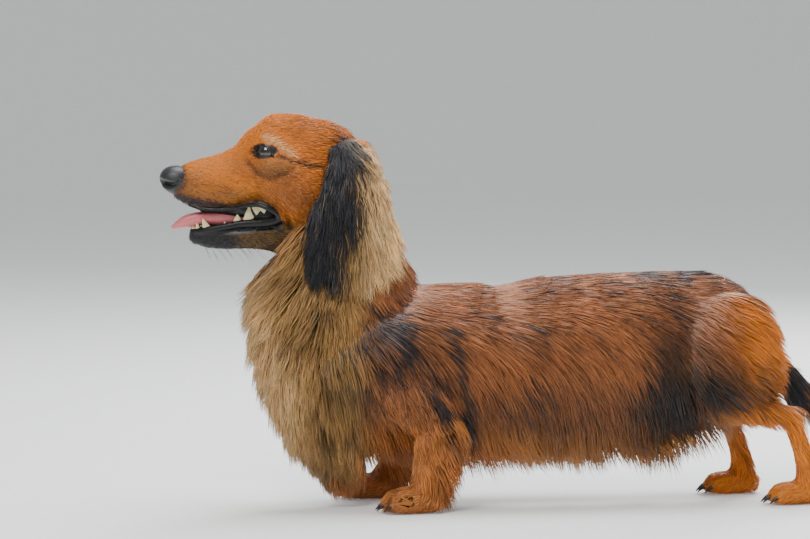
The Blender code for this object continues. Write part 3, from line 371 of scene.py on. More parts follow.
# %% [markdown]
# Muscle and bone show as bumps and hollows: brow, cheek, temple and the stop of the nose on the
# head, shoulder, ribs and haunch on the trunk. Each is (x, y, z, radius, rise), on both sides.

# %% Bumps, hollows and the forms of each side
HEAD_PUSHES = [
    (-164, 22, 374, 13, 3.0), (-180, 28, 350, 13, -3.5), (-140, 38, 366, 22, -5.0),
    (-132, 38, 326, 26, 4.0), (-196, 22, 322, 20, 2.0), (-174, 0, 384, 10, -3.0),
    (-226, 12, 302, 14, 1.5), (-90, 0, 372, 18, 3.0), (-163, 30, 341, 10, 2.0),
]
TORSO_PUSHES = [
    (-70, 52, 186, 40, 7.0), (-40, 60, 150, 40, 6.0), (300, 48, 186, 40, 5.0),
    (62, 66, 150, 40, 1.5),
]


def limb_rows(rows, side, moved, first=1.0, last=1.0):
    """The left side's rows set down by the stance, from a share `first` of it to `last`."""
    share = np.linspace(first, last, len(rows))
    return [(x + moved * k, -side * y, z, *sizes) for k, (x, y, z, *sizes) in zip(share, rows)]


def limb_forms(name, side):
    """The forms of one side's legs and ear, by name."""
    fore, hind = STANCE["fore", name], STANCE["hind", name]
    return {
        "upper_arm": Form(limb_rows(UPPER_ARM, side, fore, 0.3, 0.3), caps=(0.5, 0.8)),
        "forearm": Form(limb_rows(FOREARM, side, fore, 0.3, 1.0), caps=(0.6, 0.6)),
        "thigh": Form(limb_rows(THIGH, side, hind, 0.1, 0.1), caps=(0.5, 0.5)),
        "shank": Form(limb_rows(SHANK, side, hind, 0.1, 1.0), caps=(0.6, 0.8)),
        "pastern": Form(limb_rows(PASTERN, side, hind), caps=(0.8, 0.5)),
        "ear": Form(limb_rows(EAR, side, 0.0), caps=(0.6, 1.2), square=2.3),
    }


LIMBS = {name: limb_forms(name, side) for name, side in SIDES.items()}
print("forms of each side:", ", ".join(LIMBS["left"]))

# %% [markdown]
# ## From arrays to objects
#
# Every mesh here is worked out as whole arrays of points and faces, and handed to Blender in one
# go. One helper does that, in millimetres and in the tables' own axes.

# %% Objects from arrays
def make_object(name, points, faces, smooth=True):
    """An object from points in mm and arrays of faces, each array with one number of corners."""
    mesh = bpy.data.meshes.new(name)
    faces = [np.asarray(block) for block in faces if len(block)]
    corners = np.concatenate([block.ravel() for block in faces])
    counts = np.concatenate([np.full(len(block), block.shape[1]) for block in faces])
    mesh.vertices.add(len(points))
    mesh.vertices.foreach_set("co", ((np.asarray(points) + SHIFT) * MM).ravel())
    mesh.loops.add(len(corners))
    mesh.loops.foreach_set("vertex_index", corners.astype(np.int32))
    mesh.polygons.add(len(counts))
    starts = np.concatenate([[0], np.cumsum(counts)[:-1]])
    mesh.polygons.foreach_set("loop_start", starts.astype(np.int32))
    mesh.update(calc_edges=True)
    mesh.polygons.foreach_set("use_smooth", np.full(len(counts), smooth))
    obj = bpy.data.objects.new(name, mesh)
    bpy.context.scene.collection.objects.link(obj)
    return obj


def outwards(obj):
    """Points all faces of closed shells outwards."""
    work = bmesh.new()
    work.from_mesh(obj.data)
    bmesh.ops.recalc_face_normals(work, faces=work.faces)
    work.to_mesh(obj.data)
    work.free()
    return obj


def joined(shells):
    """One list of points and faces from several."""
    points, blocks, start = [], {}, 0
    for shell_points, faces in shells:
        points.append(shell_points)
        for block in faces:
            blocks.setdefault(block.shape[1], []).append(block + start)
        start += len(shell_points)
    return np.vstack(points), [np.vstack(group) for group in blocks.values()]


# %% Reading and changing a mesh
def positions(obj):
    """The object's vertices in mm, in the tables' axes."""
    points = np.empty(len(obj.data.vertices) * 3)
    obj.data.vertices.foreach_get("co", points)
    return points.reshape(-1, 3) / MM - SHIFT


def vertex_normals(obj):
    """The unit normals of the object's vertices."""
    normals = np.empty(len(obj.data.vertices) * 3)
    obj.data.vertices.foreach_get("normal", normals)
    return normals.reshape(-1, 3)


def move_to(obj, points):
    """Puts the object's vertices at points in mm, in the tables' axes."""
    obj.data.vertices.foreach_set("co", ((points + SHIFT) * MM).ravel())
    obj.data.update()


def applied(obj):
    """Gives the object the mesh that its modifiers make."""
    bpy.context.view_layer.update()
    graph = bpy.context.evaluated_depsgraph_get()
    mesh = bpy.data.meshes.new_from_object(obj.evaluated_get(graph))
    obj.modifiers.clear()
    old, obj.data = obj.data, mesh
    mesh.name = obj.name
    bpy.data.meshes.remove(old)
    return obj


def tone(red, green, blue):
    """A colour as the eye names it, 0 to 255, as the light that a shader mixes."""
    value = np.array([red, green, blue]) / 255
    return np.where(value <= 0.04045, value / 12.92, ((value + 0.055) / 1.055) ** 2.4)


print("a middle grey sends back", round(tone(128, 128, 128)[0], 3), "of the light")

# %% [markdown]
# ## The skin
#
# Under the coat the dog is one skin without seams. The forms are made a little thinner than the
# solids, by the depth of the coat there. Then a voxel remesh melts them into one closed surface,
# and smoothing rounds the creases where they meet, as flesh does. The head is remeshed finer than
# the body, because its lips and lids are small, and one union joins the two.

# %% Raise and lower a surface
def raised(points, normals, pushes):
    """Adds height * exp(-(distance / radius)^2) along the normals, alike on both sides."""
    height = np.zeros(len(points))
    for x, y, z, radius, rise in pushes:
        away = (points[:, 0] - x) ** 2 + (np.abs(points[:, 1]) - y) ** 2 + (points[:, 2] - z) ** 2
        height += rise * np.exp(-away / radius**2)
    return points + normals * height[:, None]


def raised_shell(form, rings, sides, pushes):
    """A form's shell with its bumps and hollows, before it is melted into the skin."""
    points, faces = form.shell(rings, sides)
    centre = points.mean(axis=0)
    away = np.abs(points[:, None, 0] - form.rows[None, :, 0]).argmin(axis=1)
    normals = unit((points - form.rows[away, :3]) * [0.15, 1, 1] + (points - centre) * [0.05, 0, 0])
    return raised(points, normals, pushes), faces


print("bumps on the head:", len(HEAD_PUSHES), "and on the trunk:", len(TORSO_PUSHES))


# %% Balls and small tubes
def ball_shell(centre, radius, sides=32, rings=20):
    """A ball as a tube whose rings grow and shrink with the sine of their height."""
    phi = np.pi * np.arange(1, rings) / rings
    turn = 2 * np.pi * np.arange(sides) / sides
    grid = np.stack([
        np.sin(phi)[:, None] * np.cos(turn), np.sin(phi)[:, None] * np.sin(turn),
        -np.cos(phi)[:, None] * np.ones(sides),
    ], axis=-1)
    return capped(grid * radius + centre, np.array([[0, 0, -1], [0, 0, 1]]) * radius + centre)


def tube_shell(path, radii, sides=16, flat=1.0):
    """A round tube along points, with domed ends. `flat` squeezes its height."""
    rows = [(*point, radius * flat, radius * flat, radius) for point, radius in zip(path, radii)]
    return Form(rows, caps=(0.9, 0.9)).shell(6 * len(rows), sides, 3)


# %% [markdown]
# The lips are four long rolls. They meet in pairs at the corners of the open mouth.

# %% Lips
LOWER_ROLL = [
    (-238, 4, 277, 2.4), (-232, 9.2, 277.5, 2.9), (-220, 13.2, 279.5, 3.1), (-204, 15.6, 282.5, 3.3),
    (-186, 18.3, 285.5, 3.6), (-170, 22.2, 286.5, 3.8), (-157, 26.8, 288, 3.8), (-149, 30, 291, 3.0),
]
UPPER_ROLL = [
    (-240, 12, 303.5, 1.6), (-226, 16, 300, 2.0), (-210, 18, 299.5, 2.2), (-196, 20.6, 300.5, 2.5),
    (-184, 25, 304, 2.6), (-173, 29, 305, 2.6), (-162, 31.5, 301.5, 2.8), (-153, 31.5, 296, 3.0),
    (-149, 30, 290, 2.8),
]


def lip_shells():
    """Rolls of (x, y, z, radius) from chin and nose to the mouth's corners, on both sides."""
    shells = []
    for side in SIDES.values():
        for table, flat in ((LOWER_ROLL, 1.15), (UPPER_ROLL, 1.0)):
            rows = [(x, side * y, z) for x, y, z, _ in table]
            shells.append(tube_shell(rows, [row[3] for row in table], flat=flat))
    return shells


print("lip rolls:", len(lip_shells()))


# %% Paws
def paw_sizes(name, paw):
    """Where a paw stands, x and y, and its length, width and height."""
    ahead, *sizes = PAW_SIZES[paw]
    foot = LIMBS[name][LEG_ENDS[paw]].rows[-1]
    return foot[0] - ahead, foot[1], *sizes


def paw_shells(name, paw):
    """A paw: a low pad and four toes, from the same shares as the solid's."""
    x, y, length, width, height = paw_sizes(name, paw)
    less = BODY_DEPTH["paw"]
    pad = Form([
        (x + length * 0.34, y, height * 0.46, height * 0.44, height * 0.50, width * 0.34),
        (x + length * 0.10, y, height * 0.48, height * 0.54, height * 0.52, width * 0.46),
        (x - length * 0.16, y, height * 0.44, height * 0.50, height * 0.50, width * 0.47),
    ], caps=(0.8, 0.6))
    shells = [pad.thinner(less).shell(16, 28)]
    for across, further in TOE_OFFSETS:
        ty, reach = y + across * width, length * (0.40 + further)
        toe = Form([
            (x - length * 0.05, ty, height * 0.48, height * 0.42, height * 0.48, width * 0.14),
            (x - reach * 0.72, ty, height * 0.44, height * 0.44, height * 0.46, width * 0.145),
            (x - reach, ty, height * 0.30, height * 0.30, height * 0.30, width * 0.125),
        ], caps=(0.5, 0.8))
        shells.append(toe.thinner(less * 0.6).shell(12, 20))
    return shells


# %% Ears
def ear_form(side, less=2.8):
    """The ear's leather, without the hair that makes the solid's ear wider."""
    form = Form(limb_rows(EAR, side, 0.0), caps=(0.6, 0.5), square=2.3)
    form.rows[:, 3:5] *= [0.84, 1.0]
    form.rows[:, 5] -= less
    return form


def ear_leaf(side):
    """The ear as a leaf that hangs from the head, cupped towards it."""
    form = ear_form(side)
    points, faces = form.shell(40, 48)
    return cupped(points, side, form), faces


def cupped(points, side, form):
    """Bends the ear's edges towards the head: y - cup * (offset / half width)^2 / 2."""
    knots, rows = form.rows[::-1, 2], form.rows[::-1]
    flat = points.reshape(-1, 3)
    middle = through(knots, rows[:, :1], flat[:, 2])[:, 0]
    half = through(knots, rows[:, 4:5], flat[:, 2])[:, 0]
    offset = np.clip(np.abs(flat[:, 0] - middle) / half, 0, 1.1)
    moved = flat.copy()
    moved[:, 1] -= side * EAR_CUP * offset**2 * 0.5
    return moved.reshape(points.shape)


print("ear leather:", round(ear_form(LEFT).length), "mm long")


# %% Melt closed shells into one
def melted(name, shells, voxel, passes):
    """One closed surface from many closed shells: voxel remesh, then smoothing."""
    obj = outwards(make_object(name, *joined(shells)))
    step = obj.modifiers.new("melt", "REMESH")
    step.mode, step.voxel_size, step.use_smooth_shade = "VOXEL", voxel * MM, True
    step = obj.modifiers.new("soften", "SMOOTH")
    step.factor, step.iterations = 0.5, passes
    return applied(obj)


# %% The flesh of body and head
BODY_DEPTH = {"torso": 5.0, "neck": 4.0, "bib": 8.0, "limb": 3.5, "tail": 3.0, "paw": 1.2}
HEAD_DEPTH = 0.9
JAW_DEPTH = HEAD_DEPTH * 0.7
LIMB_PARTS = ("upper_arm", "forearm", "thigh", "shank", "pastern")
BODY_VOXEL, HEAD_VOXEL = 3.4, 1.35


def body_shells():
    """Trunk, neck, chest, legs, paws, tail and the ears' leather."""
    shells = [
        raised_shell(TORSO.thinner(BODY_DEPTH["torso"]), 90, 64, TORSO_PUSHES),
        NECK.thinner(BODY_DEPTH["neck"]).shell(50, 64),
        BIB.thinner(BODY_DEPTH["bib"]).shell(50, 56),
        TAIL.thinner(BODY_DEPTH["tail"]).shell(60, 24),
    ]
    for name, side in SIDES.items():
        limb = LIMBS[name]
        for part in LIMB_PARTS:
            shells.append(limb[part].thinner(BODY_DEPTH["limb"]).shell(40, 40))
        for paw in LEG_ENDS:
            shells += paw_shells(name, paw)
        shells.append(ear_leaf(side))
    return shells


def head_shells():
    """Skull and muzzle, lower jaw, gums, lips and the swell round each eye."""
    shells = [
        raised_shell(HEAD.thinner(HEAD_DEPTH), 110, 96, HEAD_PUSHES),
        JAW.thinner(JAW_DEPTH).shell(70, 64),
        GUMS.shell(60, 48),
        *lip_shells(),
    ]
    for side in SIDES.values():
        centre = EYE_CENTRE * [1, side, 1]
        shells.append(ball_shell(centre + [0, side * -0.8, 0], EYE_RADIUS + 1.5))
    return [(turned_head(points), faces) for points, faces in shells]


body_skin = melted("body_skin", body_shells(), BODY_VOXEL, 4)
skin = melted("skin", head_shells(), HEAD_VOXEL, 3)
print("skin before its union:", len(body_skin.data.polygons), "+", len(skin.data.polygons), "faces")

# %% [markdown]
# Head and body become one by a union, the finest faces go round the eyes, and the ring where
# the head meets the throat is smoothed once more.

# %% One skin
def united(obj, other):
    """The union of two closed surfaces."""
    step = obj.modifiers.new("join", "BOOLEAN")
    step.operation, step.object, step.solver = "UNION", other, "MANIFOLD"
    applied(obj)
    bpy.data.objects.remove(other)
    return obj


def softened(obj, weights, passes, factor=0.5):
    """Smooths the surface where the weights, one for each vertex, are above zero."""
    group = obj.vertex_groups.new(name="soft")
    for level in np.unique(weights[weights > 0]):
        group.add(np.flatnonzero(weights == level).tolist(), float(level), "REPLACE")
    step = obj.modifiers.new("soften", "SMOOTH")
    step.factor, step.iterations, step.vertex_group = factor, passes, "soft"
    applied(obj)
    obj.vertex_groups.clear()
    return obj


def made_finer(obj, wanted):
    """Splits in two each edge whose both ends satisfy `wanted`, and so each face there in four."""
    work = bmesh.new()
    work.from_mesh(obj.data)
    work.verts.ensure_lookup_table()
    chosen = wanted(positions(obj))
    edges = [edge for edge in work.edges if all(chosen[vert.index] for vert in edge.verts)]
    bmesh.ops.subdivide_edges(work, edges=edges, cuts=1, use_grid_fill=True, smooth=0.6)
    bmesh.ops.triangulate(work, faces=[face for face in work.faces if len(face.verts) > 4])
    work.to_mesh(obj.data)
    work.free()
    return obj


FINE_RADIUS, FINE_FROM_MIDDLE = 19.0, 22.0


def round_the_eyes(points):
    """True close to an eye, on the side of the head."""
    own = unturned(points)
    own[:, 1] = np.abs(own[:, 1])
    close = np.linalg.norm(own - EYE_CENTRE, axis=1) < FINE_RADIUS
    return close & (own[:, 1] > FINE_FROM_MIDDLE)


made_finer(skin, round_the_eyes)
united(skin, body_skin)
points = positions(skin)
throat = smooth_step(points[:, 0], -150, -135) * (1 - smooth_step(points[:, 0], -70, -50))
throat *= smooth_step(points[:, 2], 225, 240) * (np.abs(points[:, 1]) < 46)
softened(skin, np.round(throat, 1), 12)
print("skin:", len(skin.data.vertices), "vertices")

# %% [markdown]
# ## Lids and folds
#
# The eye looks out and forward. Its lids are the rim of an almond-shaped opening. Inside the
# almond the skin is pressed back behind the ball, and points close to the rim are pulled onto it,
# so that the edge is clean.

# %% The almond between the lids
EYE_REGION, RIM_PULL, CORNER_REACH, CORNER_DEPTH = 20.0, 2.6, 12.0, 5.2
SKIN_PROUD, RIM_PROUD, TUCK, SOCKET_GAP, SOCKET_DEPTH = 0.7, 0.35, 0.9, 2.4, 3.0


def eye_axes(side):
    """The eye's axes on one side: the way that it looks, rearwards across it, and up."""
    look = np.array([-math.sin(EYE_AHEAD), side * math.cos(EYE_AHEAD), 0.0])
    across = np.array([math.cos(EYE_AHEAD), side * math.sin(EYE_AHEAD), 0.0])
    return look, across, UP


def eye_view(own, side):
    """The eye's centre, its axes, and how far points lie out, rearwards and up from it."""
    centre, axes = EYE_CENTRE * [1, side, 1], eye_axes(side)
    away = own - centre
    return centre, axes, [away @ axis for axis in axes]


def lid_share(a):
    """A place across the eye as a share of the way to the inner (-1) or the outer corner (1)."""
    return a / np.where(a < 0, LID_INWARD, LID_OUTWARD)


def lid_middle(share):
    """The line between the corners, which falls towards the outer one by fall * share^2."""
    return -LID_FALL * np.maximum(share, 0) ** 2


def lid_line(share, upper):
    """The height of a lid's edge: the middle line, and rise * (1 - |share|^1.8) over it."""
    share = np.clip(share, -1, 1)
    rise = UPPER_LID_RISE * (1 - np.abs(share) ** 1.8)
    drop = -LOWER_LID_DROP * (1 - np.abs(share) ** 1.9)
    return np.where(upper, rise, drop) + lid_middle(share)


def almond_gap(a, b):
    """How far a place lies outside the almond, up or down, or past a corner. Inside it is < 0."""
    share = lid_share(a)
    upper = b > lid_middle(share)
    edge = lid_line(share, upper)
    gap = np.where(upper, b - edge, edge - b)
    return np.maximum(gap, (np.abs(share) - 1) * CORNER_REACH)


def lid_depth(a, b, clear):
    """How far out the lids' edge lies: on the ball, and no deeper than the skin at the corners."""
    return np.sqrt(np.maximum((EYE_RADIUS + clear) ** 2 - a**2 - b**2, CORNER_DEPTH**2))


print("the lids open", LID_INWARD + LID_OUTWARD, "by", UPPER_LID_RISE + LOWER_LID_DROP, "mm")


# %% Open the lids
def opened_lids(points):
    """Presses the skin inside the almond behind the ball, and draws the skin round it to the rim.

    Outside, the depth c becomes c + (rim - c) * exp(-(gap / pull)^2), where gap is the distance
    from the almond's edge. In the corners, past the ball, the skin stays just under the rim.
    """
    own = unturned(points)
    for side in SIDES.values():
        centre, (look, across, up), (c, a, b) = eye_view(own, side)
        near = (c > 0) & (np.hypot(a, b) < EYE_REGION)
        gap = almond_gap(a, b)
        rim = lid_depth(a, b, SKIN_PROUD)
        pull = np.where(gap > 0, np.exp(-((gap / RIM_PULL) ** 2)), 1.0)
        c = np.where(near, c + (rim - c) * pull, c)
        on_ball = np.hypot(a, b) < EYE_RADIUS - TUCK
        behind = np.sqrt(np.maximum((EYE_RADIUS - SOCKET_GAP) ** 2 - a**2 - b**2, SOCKET_DEPTH**2))
        socket = np.where(on_ball, behind, rim - TUCK)
        c = np.where(near & (gap < -RIM_PROUD), np.minimum(c, socket), c)
        own = np.where(near[:, None], centre + a[:, None] * across
                       + b[:, None] * up + c[:, None] * look, own)
    return turned_head(own)


# %% [markdown]
# The folds of lids, cheek and lips are shallow grooves along lines, drawn in side view as (x, z)
# and pressed into both sides. At the tip of the muzzle the skin is tucked back inside the nose
# leather, so that it can't show in the nostrils.

# %% Grooves along lines
def near_line(own, line, width):
    """exp(-(distance to the line in side view / width)^2), on both sides of the middle plane."""
    flat, line = own[:, [0, 2]], np.array(line, float)
    best = np.full(len(own), np.inf)
    for start, end in zip(line[:-1], line[1:]):
        along = end - start
        share = np.clip((flat - start) @ along / (along @ along), 0, 1)
        best = np.minimum(best, np.linalg.norm(flat - start - share[:, None] * along, axis=1))
    return np.exp(-((best / width) ** 2)) * smooth_step(np.abs(own[:, 1]), 10, 18)


def grooved(points, normals, line, radius, depth):
    """Lowers the surface by depth * exp(-(distance to the line / radius)^2), on both sides."""
    return points - normals * (depth * near_line(unturned(points), line, radius))[:, None]


EYE_CREASE = [(-182.5, 348.5), (-173.5, 336), (-159.5, 332), (-144, 337), (-136.5, 342)]
EYE_STREAK = [(-152, 353.5), (-142, 349), (-127, 344.5), (-112, 343)]
UPPER_LID_FOLD = [(-178, 353), (-172, 367), (-160, 370.5), (-150, 362)]
INNER_FOLD = [(-186, 352), (-192, 343), (-194, 334)]
LIP_CORNER_FOLD = [(-154, 310), (-145, 300), (-142, 288)]
FOLDS = [
    (EYE_CREASE, 2.4, 1.5), (EYE_STREAK, 2.4, 0.8), (UPPER_LID_FOLD, 2.0, 0.7),
    (INNER_FOLD, 3.5, 0.8), (LIP_CORNER_FOLD, 2.8, 1.0),
]
print("folds:", len(FOLDS), "up to", max(depth for _, _, depth in FOLDS), "mm deep")


# %% Folds, lids and the tip of the muzzle
def nose_reach(own):
    """How far out a point lies in the nose: 0 at its middle, 1 at its surface."""
    half = np.array([NOSE_LENGTH, NOSE_WIDTH, NOSE_HEIGHT]) / 2
    return np.linalg.norm((own - NOSE_CENTRE) / half, axis=1)


SOLE_HEIGHT, FLOOR_GAP = 0.6, 0.3
NOSE_TUCK = 0.72, 0.92
points = positions(skin)
for line, radius, depth in FOLDS:
    points = grooved(points, vertex_normals(skin), line, radius, depth)
points = opened_lids(points)
own = unturned(points)
inside_nose = 1 - smooth_step(nose_reach(own), *NOSE_TUCK)
own += (NOSE_CENTRE + [6, 0, 0] - own) * (0.4 * inside_nose)[:, None]
points = turned_head(own)
points[:, 2] = np.maximum(points[:, 2], SOLE_HEIGHT)
move_to(skin, points)
print("skin from", np.round(points.min(axis=0)), "to", np.round(points.max(axis=0)))

# %% [markdown]
# ## Where each form lies
#
# Markings and coat both depend on the part of the body. So each vertex of the skin is given the
# form that it lies on, and its place on it: the share of the form's length and the angle round
# it. The form is the one whose own surface passes nearest to the vertex.

# %% A place on a form
ALONG_STEPS = 64


def round_form(form, points):
    """Share t, angle, and distance from the surface in mm, of points that lie round a form."""
    t = np.linspace(0, 1, ALONG_STEPS)
    centre, size, forward, up, across = form.stations(t)
    if form.upright:
        i = np.clip(np.searchsorted(centre[:, 0], points[:, 0]), 0, ALONG_STEPS - 1)
    else:
        i = nearest(points, centre)
    offset = points - centre[i]
    ahead, wide, high = (np.sum(offset * way[i], axis=1) for way in (forward, across, up))
    share = np.clip(t[i] + ahead / form.length, 0, 1)
    beyond = ahead - (share - t[i]) * form.length
    tall, half = np.where(high > 0, size[i, 0], size[i, 1]), size[i, 2]
    wide, high, small = wide / half, high / tall, np.minimum(half, tall)
    around = (np.abs(wide) ** form.square + np.abs(high) ** form.square) ** (1 / form.square)
    away = np.hypot(around, beyond / (0.8 * small)) - 1
    c = np.sign(wide) * np.abs(wide) ** (form.square / 2)
    s = np.sign(high) * np.abs(high) ** (form.square / 2)
    return share, np.arctan2(s, c), away * small


def nearest(points, centres, block=4000):
    """The index of the nearest centre to each point."""
    found = []
    for start in range(0, len(points), block):
        some = points[start:start + block]
        away = (some**2).sum(1)[:, None] - 2 * some @ centres.T + (centres**2).sum(1)
        found.append(away.argmin(axis=1))
    return np.concatenate(found) if found else np.zeros(0, int)


# %% Zones of the skin
def paw_zone(name, paw):
    """One plain form round a whole paw."""
    x, y, length, width, height = paw_sizes(name, paw)
    return Form([
        (x + length * 0.30, y, height * 0.46, height * 0.42, height * 0.46, width * 0.33),
        (x, y, height * 0.48, height * 0.50, height * 0.46, width * 0.45),
        (x - length * 0.44, y, height * 0.36, height * 0.40, height * 0.36, width * 0.40),
    ], caps=(0.8, 0.8))


ZONES = {
    "torso": TORSO.thinner(BODY_DEPTH["torso"]), "neck": NECK.thinner(BODY_DEPTH["neck"]),
    "bib": BIB.thinner(BODY_DEPTH["bib"]), "tail": TAIL.thinner(BODY_DEPTH["tail"]),
    "head": HEAD.thinner(HEAD_DEPTH), "jaw": JAW.thinner(JAW_DEPTH),
}
for name, side in SIDES.items():
    for part in LIMB_PARTS:
        ZONES[part + "_" + name] = LIMBS[name][part].thinner(BODY_DEPTH["limb"])
    for paw in LEG_ENDS:
        ZONES[paw + "_" + name] = paw_zone(name, paw)
    ZONES["ear_" + name] = ear_form(side)
ZONE_NAMES = list(ZONES)


def zones_of(points):
    """For each point, the index of the form whose surface it lies nearest to, t and angle."""
    best = np.full(len(points), np.inf)
    zone, share, angle = np.zeros(len(points), int), np.zeros(len(points)), np.zeros(len(points))
    own = unturned(points)
    for index, name in enumerate(ZONE_NAMES):
        form, here = ZONES[name], own if name in ("head", "jaw") else points
        reach = form.rows[:, 3:].max() + 8
        low, high = form.rows[:, :3].min(axis=0) - reach, form.rows[:, :3].max(axis=0) + reach
        near = np.flatnonzero(np.all((here > low) & (here < high), axis=1))
        t, a, away = round_form(form, here[near])
        closer = np.abs(away) < best[near]
        at = near[closer]
        best[at], zone[at] = np.abs(away)[closer], index
        share[at], angle[at] = t[closer], a[closer]
    return zone, share, angle


SKIN_POINTS, SKIN_NORMALS = positions(skin), vertex_normals(skin)
SKIN_ZONE, SKIN_SHARE, SKIN_ANGLE = zones_of(SKIN_POINTS)
print("zones:", dict(zip(ZONE_NAMES, np.bincount(SKIN_ZONE, minlength=len(ZONE_NAMES)))))

# %% [markdown]
# Two forms meet at a sharp line, but hair and colour don't change there at once. So values of the
# vertices are spread out over their neighbours, as warm wax would even out.

# %% Neighbours on the skin
def skin_edges():
    """Pairs of vertices, one for each edge of the skin."""
    edges = np.empty(len(skin.data.edges) * 2, np.int32)
    skin.data.edges.foreach_get("vertices", edges)
    return edges.reshape(-1, 2)


def spread_out(values, passes, edges):
    """Gives each vertex half of its own value and half of its neighbours' mean, many times."""
    a, b = np.concatenate([edges, edges[:, ::-1]]).T
    count = np.bincount(a, minlength=len(values))[:, None]
    for _ in range(passes):
        near = np.stack([np.bincount(a, column[b], len(values)) for column in values.T], axis=1)
        values = 0.5 * values + 0.5 * near / count
    return values


EDGES = skin_edges()
print("edges of the skin:", len(EDGES))


def on_zones(*names):
    """1.0 at the skin's vertices that lie on the named forms, 0.0 elsewhere."""
    return np.isin(SKIN_ZONE, [ZONE_NAMES.index(name) for name in names]).astype(float)


# %% [markdown]
# ## Markings
#
# One function says what colour the coat has at a place, and both skin and tufts read it, so
# they always agree. It gives two things: the warm colour, from red on the back to orange on the
# head and legs and pale tan on the bib, and how likely a hair is to be black. A sable coat is
# not painted in grey: single hairs are black or red, and the eye mixes them.

# %% The palette
RED, ORANGE = tone(160, 96, 52), tone(218, 124, 26)
TAN, PALE = tone(162, 122, 68), tone(226, 184, 134)
# The hairs' black is lightened and tinted blue-grey, as a painted sheen.
GOLD, UMBER, BLUE_SHEEN_BLACK = tone(176, 118, 52), tone(74, 46, 22), tone(28, 29, 34)
LEG = tone(186, 112, 46)
SILK, OLIVE, MUZZLE = tone(240, 198, 140), tone(112, 82, 36), tone(128, 84, 44)
LIP, GUM = tone(17, 17, 18), tone(84, 44, 46)
print("the red sends back", np.round(RED, 3), "of red, green and blue light")


# %% Patches, streaks and mixes
def blot(points, x, z, along, high, power=1.0):
    """A soft patch in side view: exp(-((dx / along)^2 + (dz / high)^2)^power)."""
    away = ((points[:, 0] - x) / along) ** 2 + ((points[:, 2] - z) / high) ** 2
    return np.exp(-(away**power))


def streaks(points, scale, seed):
    """A slow, even noise from -1 to 1: a sum of sines with fixed random ways and phases."""
    own = np.random.default_rng(seed)
    ways = own.normal(0, 1, (6, 3)) / scale
    phase = own.uniform(0, 2 * np.pi, 6)
    return np.sin(points @ ways.T + phase).mean(axis=1) * 1.8


def mixed(colour, other, share):
    """colour + (other - colour) * share, for each point."""
    return colour + (other - colour) * np.clip(share, 0, 1)[:, None]


def painted(colour, layers):
    """Colours laid one over the other, each (colour, share) over what is there."""
    for other, share in layers:
        colour = mixed(colour, other, share)
    return colour


print("streaks run from", *np.round(np.quantile(streaks(SKIN_POINTS, 22, 3), [0, 1]), 2))

# %% [markdown]
# The trunk is red, tan in front, orange at the haunch and gold along the belly. Black hairs lie over the
# withers, the loin, the shoulder and the tail. Along the flank's lower edge, dark brown and black hairs
# are painted shade, and painted shade also darkens the hair where the arm lies against the chest. The
# bib's front edge is paler, as a painted glow of light through the hair.

# %% Markings of the body
ARM_FOLD_SHADE = [(-2, 186), (4, 166), (14, 140), (20, 116), (24, 96)]
ELBOW_FOLD_SHADE = [(-12, 132), (-4, 112), (2, 92), (8, 76)]


def body_markings(points):
    """Warm colour and share of black hairs on the trunk, neck, legs and tail, with painted shade and a
    painted glow worked into both.
    """
    x, z = points[:, 0], points[:, 2]
    warm = np.tile(RED, (len(points), 1))
    bib = smooth_step(-x, 62, 92) * smooth_step(z, 40, 70)
    # The pale blot at the bib's front edge is a painted glow of light through the hair.
    nape, edge = blot(points, -60, 338, 22, 36, 2.0), blot(points, -150, 170, 16, 90, 2.0)
    side_of_neck = (0.6 * smooth_step(z, 238, 275) * smooth_step(x, -75, -52)
                    * smooth_step(np.abs(points[:, 1]), 10, 26))
    high = smooth_step(z, 88, 118)
    # Darker brown patches on the flank before the thigh and on the shoulder, and painted shade along the
    # lower side of the trunk.
    low_shade_and_dark_patches = 0.9 * blot(points, 226, 160, 34, 46) + 0.7 * blot(points, 262, 128, 42, 26)
    low_shade_and_dark_patches += (0.5 * smooth_step(-z, -165, -115) * smooth_step(x, -10, 50)
            + 0.4 * blot(points, -46, 160, 34, 48))
    # Painted shade where the arm lies against the chest and behind the elbow, by dark brown and black
    # hairs.
    fold_shade = near_line(points, ARM_FOLD_SHADE, 6) + 0.6 * near_line(points, ELBOW_FOLD_SHADE, 5)
    warm = painted(warm, (
        (GOLD, smooth_step(-z, -125, -85) * smooth_step(x, 0, 50) * 0.8),
        (LEG, smooth_step(-z, -128, -90) * (1 - smooth_step(x, 40, 90)) * 0.9),
        (ORANGE, smooth_step(x, 265, 310) * (1 - smooth_step(z, 205, 228))),
        (TAN, bib * (1 - 0.25 * smooth_step(z, 250, 300))),
        (SILK, nape + 0.5 * edge), (SILK, side_of_neck), (UMBER, low_shade_and_dark_patches * high), (UMBER, 0.9 * fold_shade),
    ))
    black = 0.30 * smooth_step(z, 185, 225) * smooth_step(x, -40, 20)
    black += 0.55 * blot(points, 272, 240, 52, 13)
    black += 0.58 * blot(points, -46, 165, 28, 44) + 0.40 * blot(points, -14, 120, 24, 34)
    black += 0.45 * fold_shade + 0.40 * blot(points, -62, 205, 26, 28)
    # Painted shade: more black hairs along the lower side of the trunk.
    black += 0.25 * smooth_step(-z, -160, -118) * high * smooth_step(x, -10, 50)
    black += (0.40 * blot(points, 222, 164, 28, 40) + 0.28 * blot(points, 256, 130, 38, 24)) * high
    black += 0.30 * blot(points, 88, 130, 22, 40) * high
    black += 0.35 * blot(points, 40, 190, 40, 16) + 0.30 * blot(points, 110, 178, 50, 14)
    black += 0.3 * blot(points, -168, 244, 9, 12)
    tail = (1 - smooth_step(np.abs(points[:, 1]), 16, 24)) * smooth_step(z, 60, 80)
    black += 0.9 * smooth_step(x, 325, 345) * tail
    black *= 1 + 0.30 * streaks(points, 22, 3)
    return warm, np.clip(black, 0, 1)


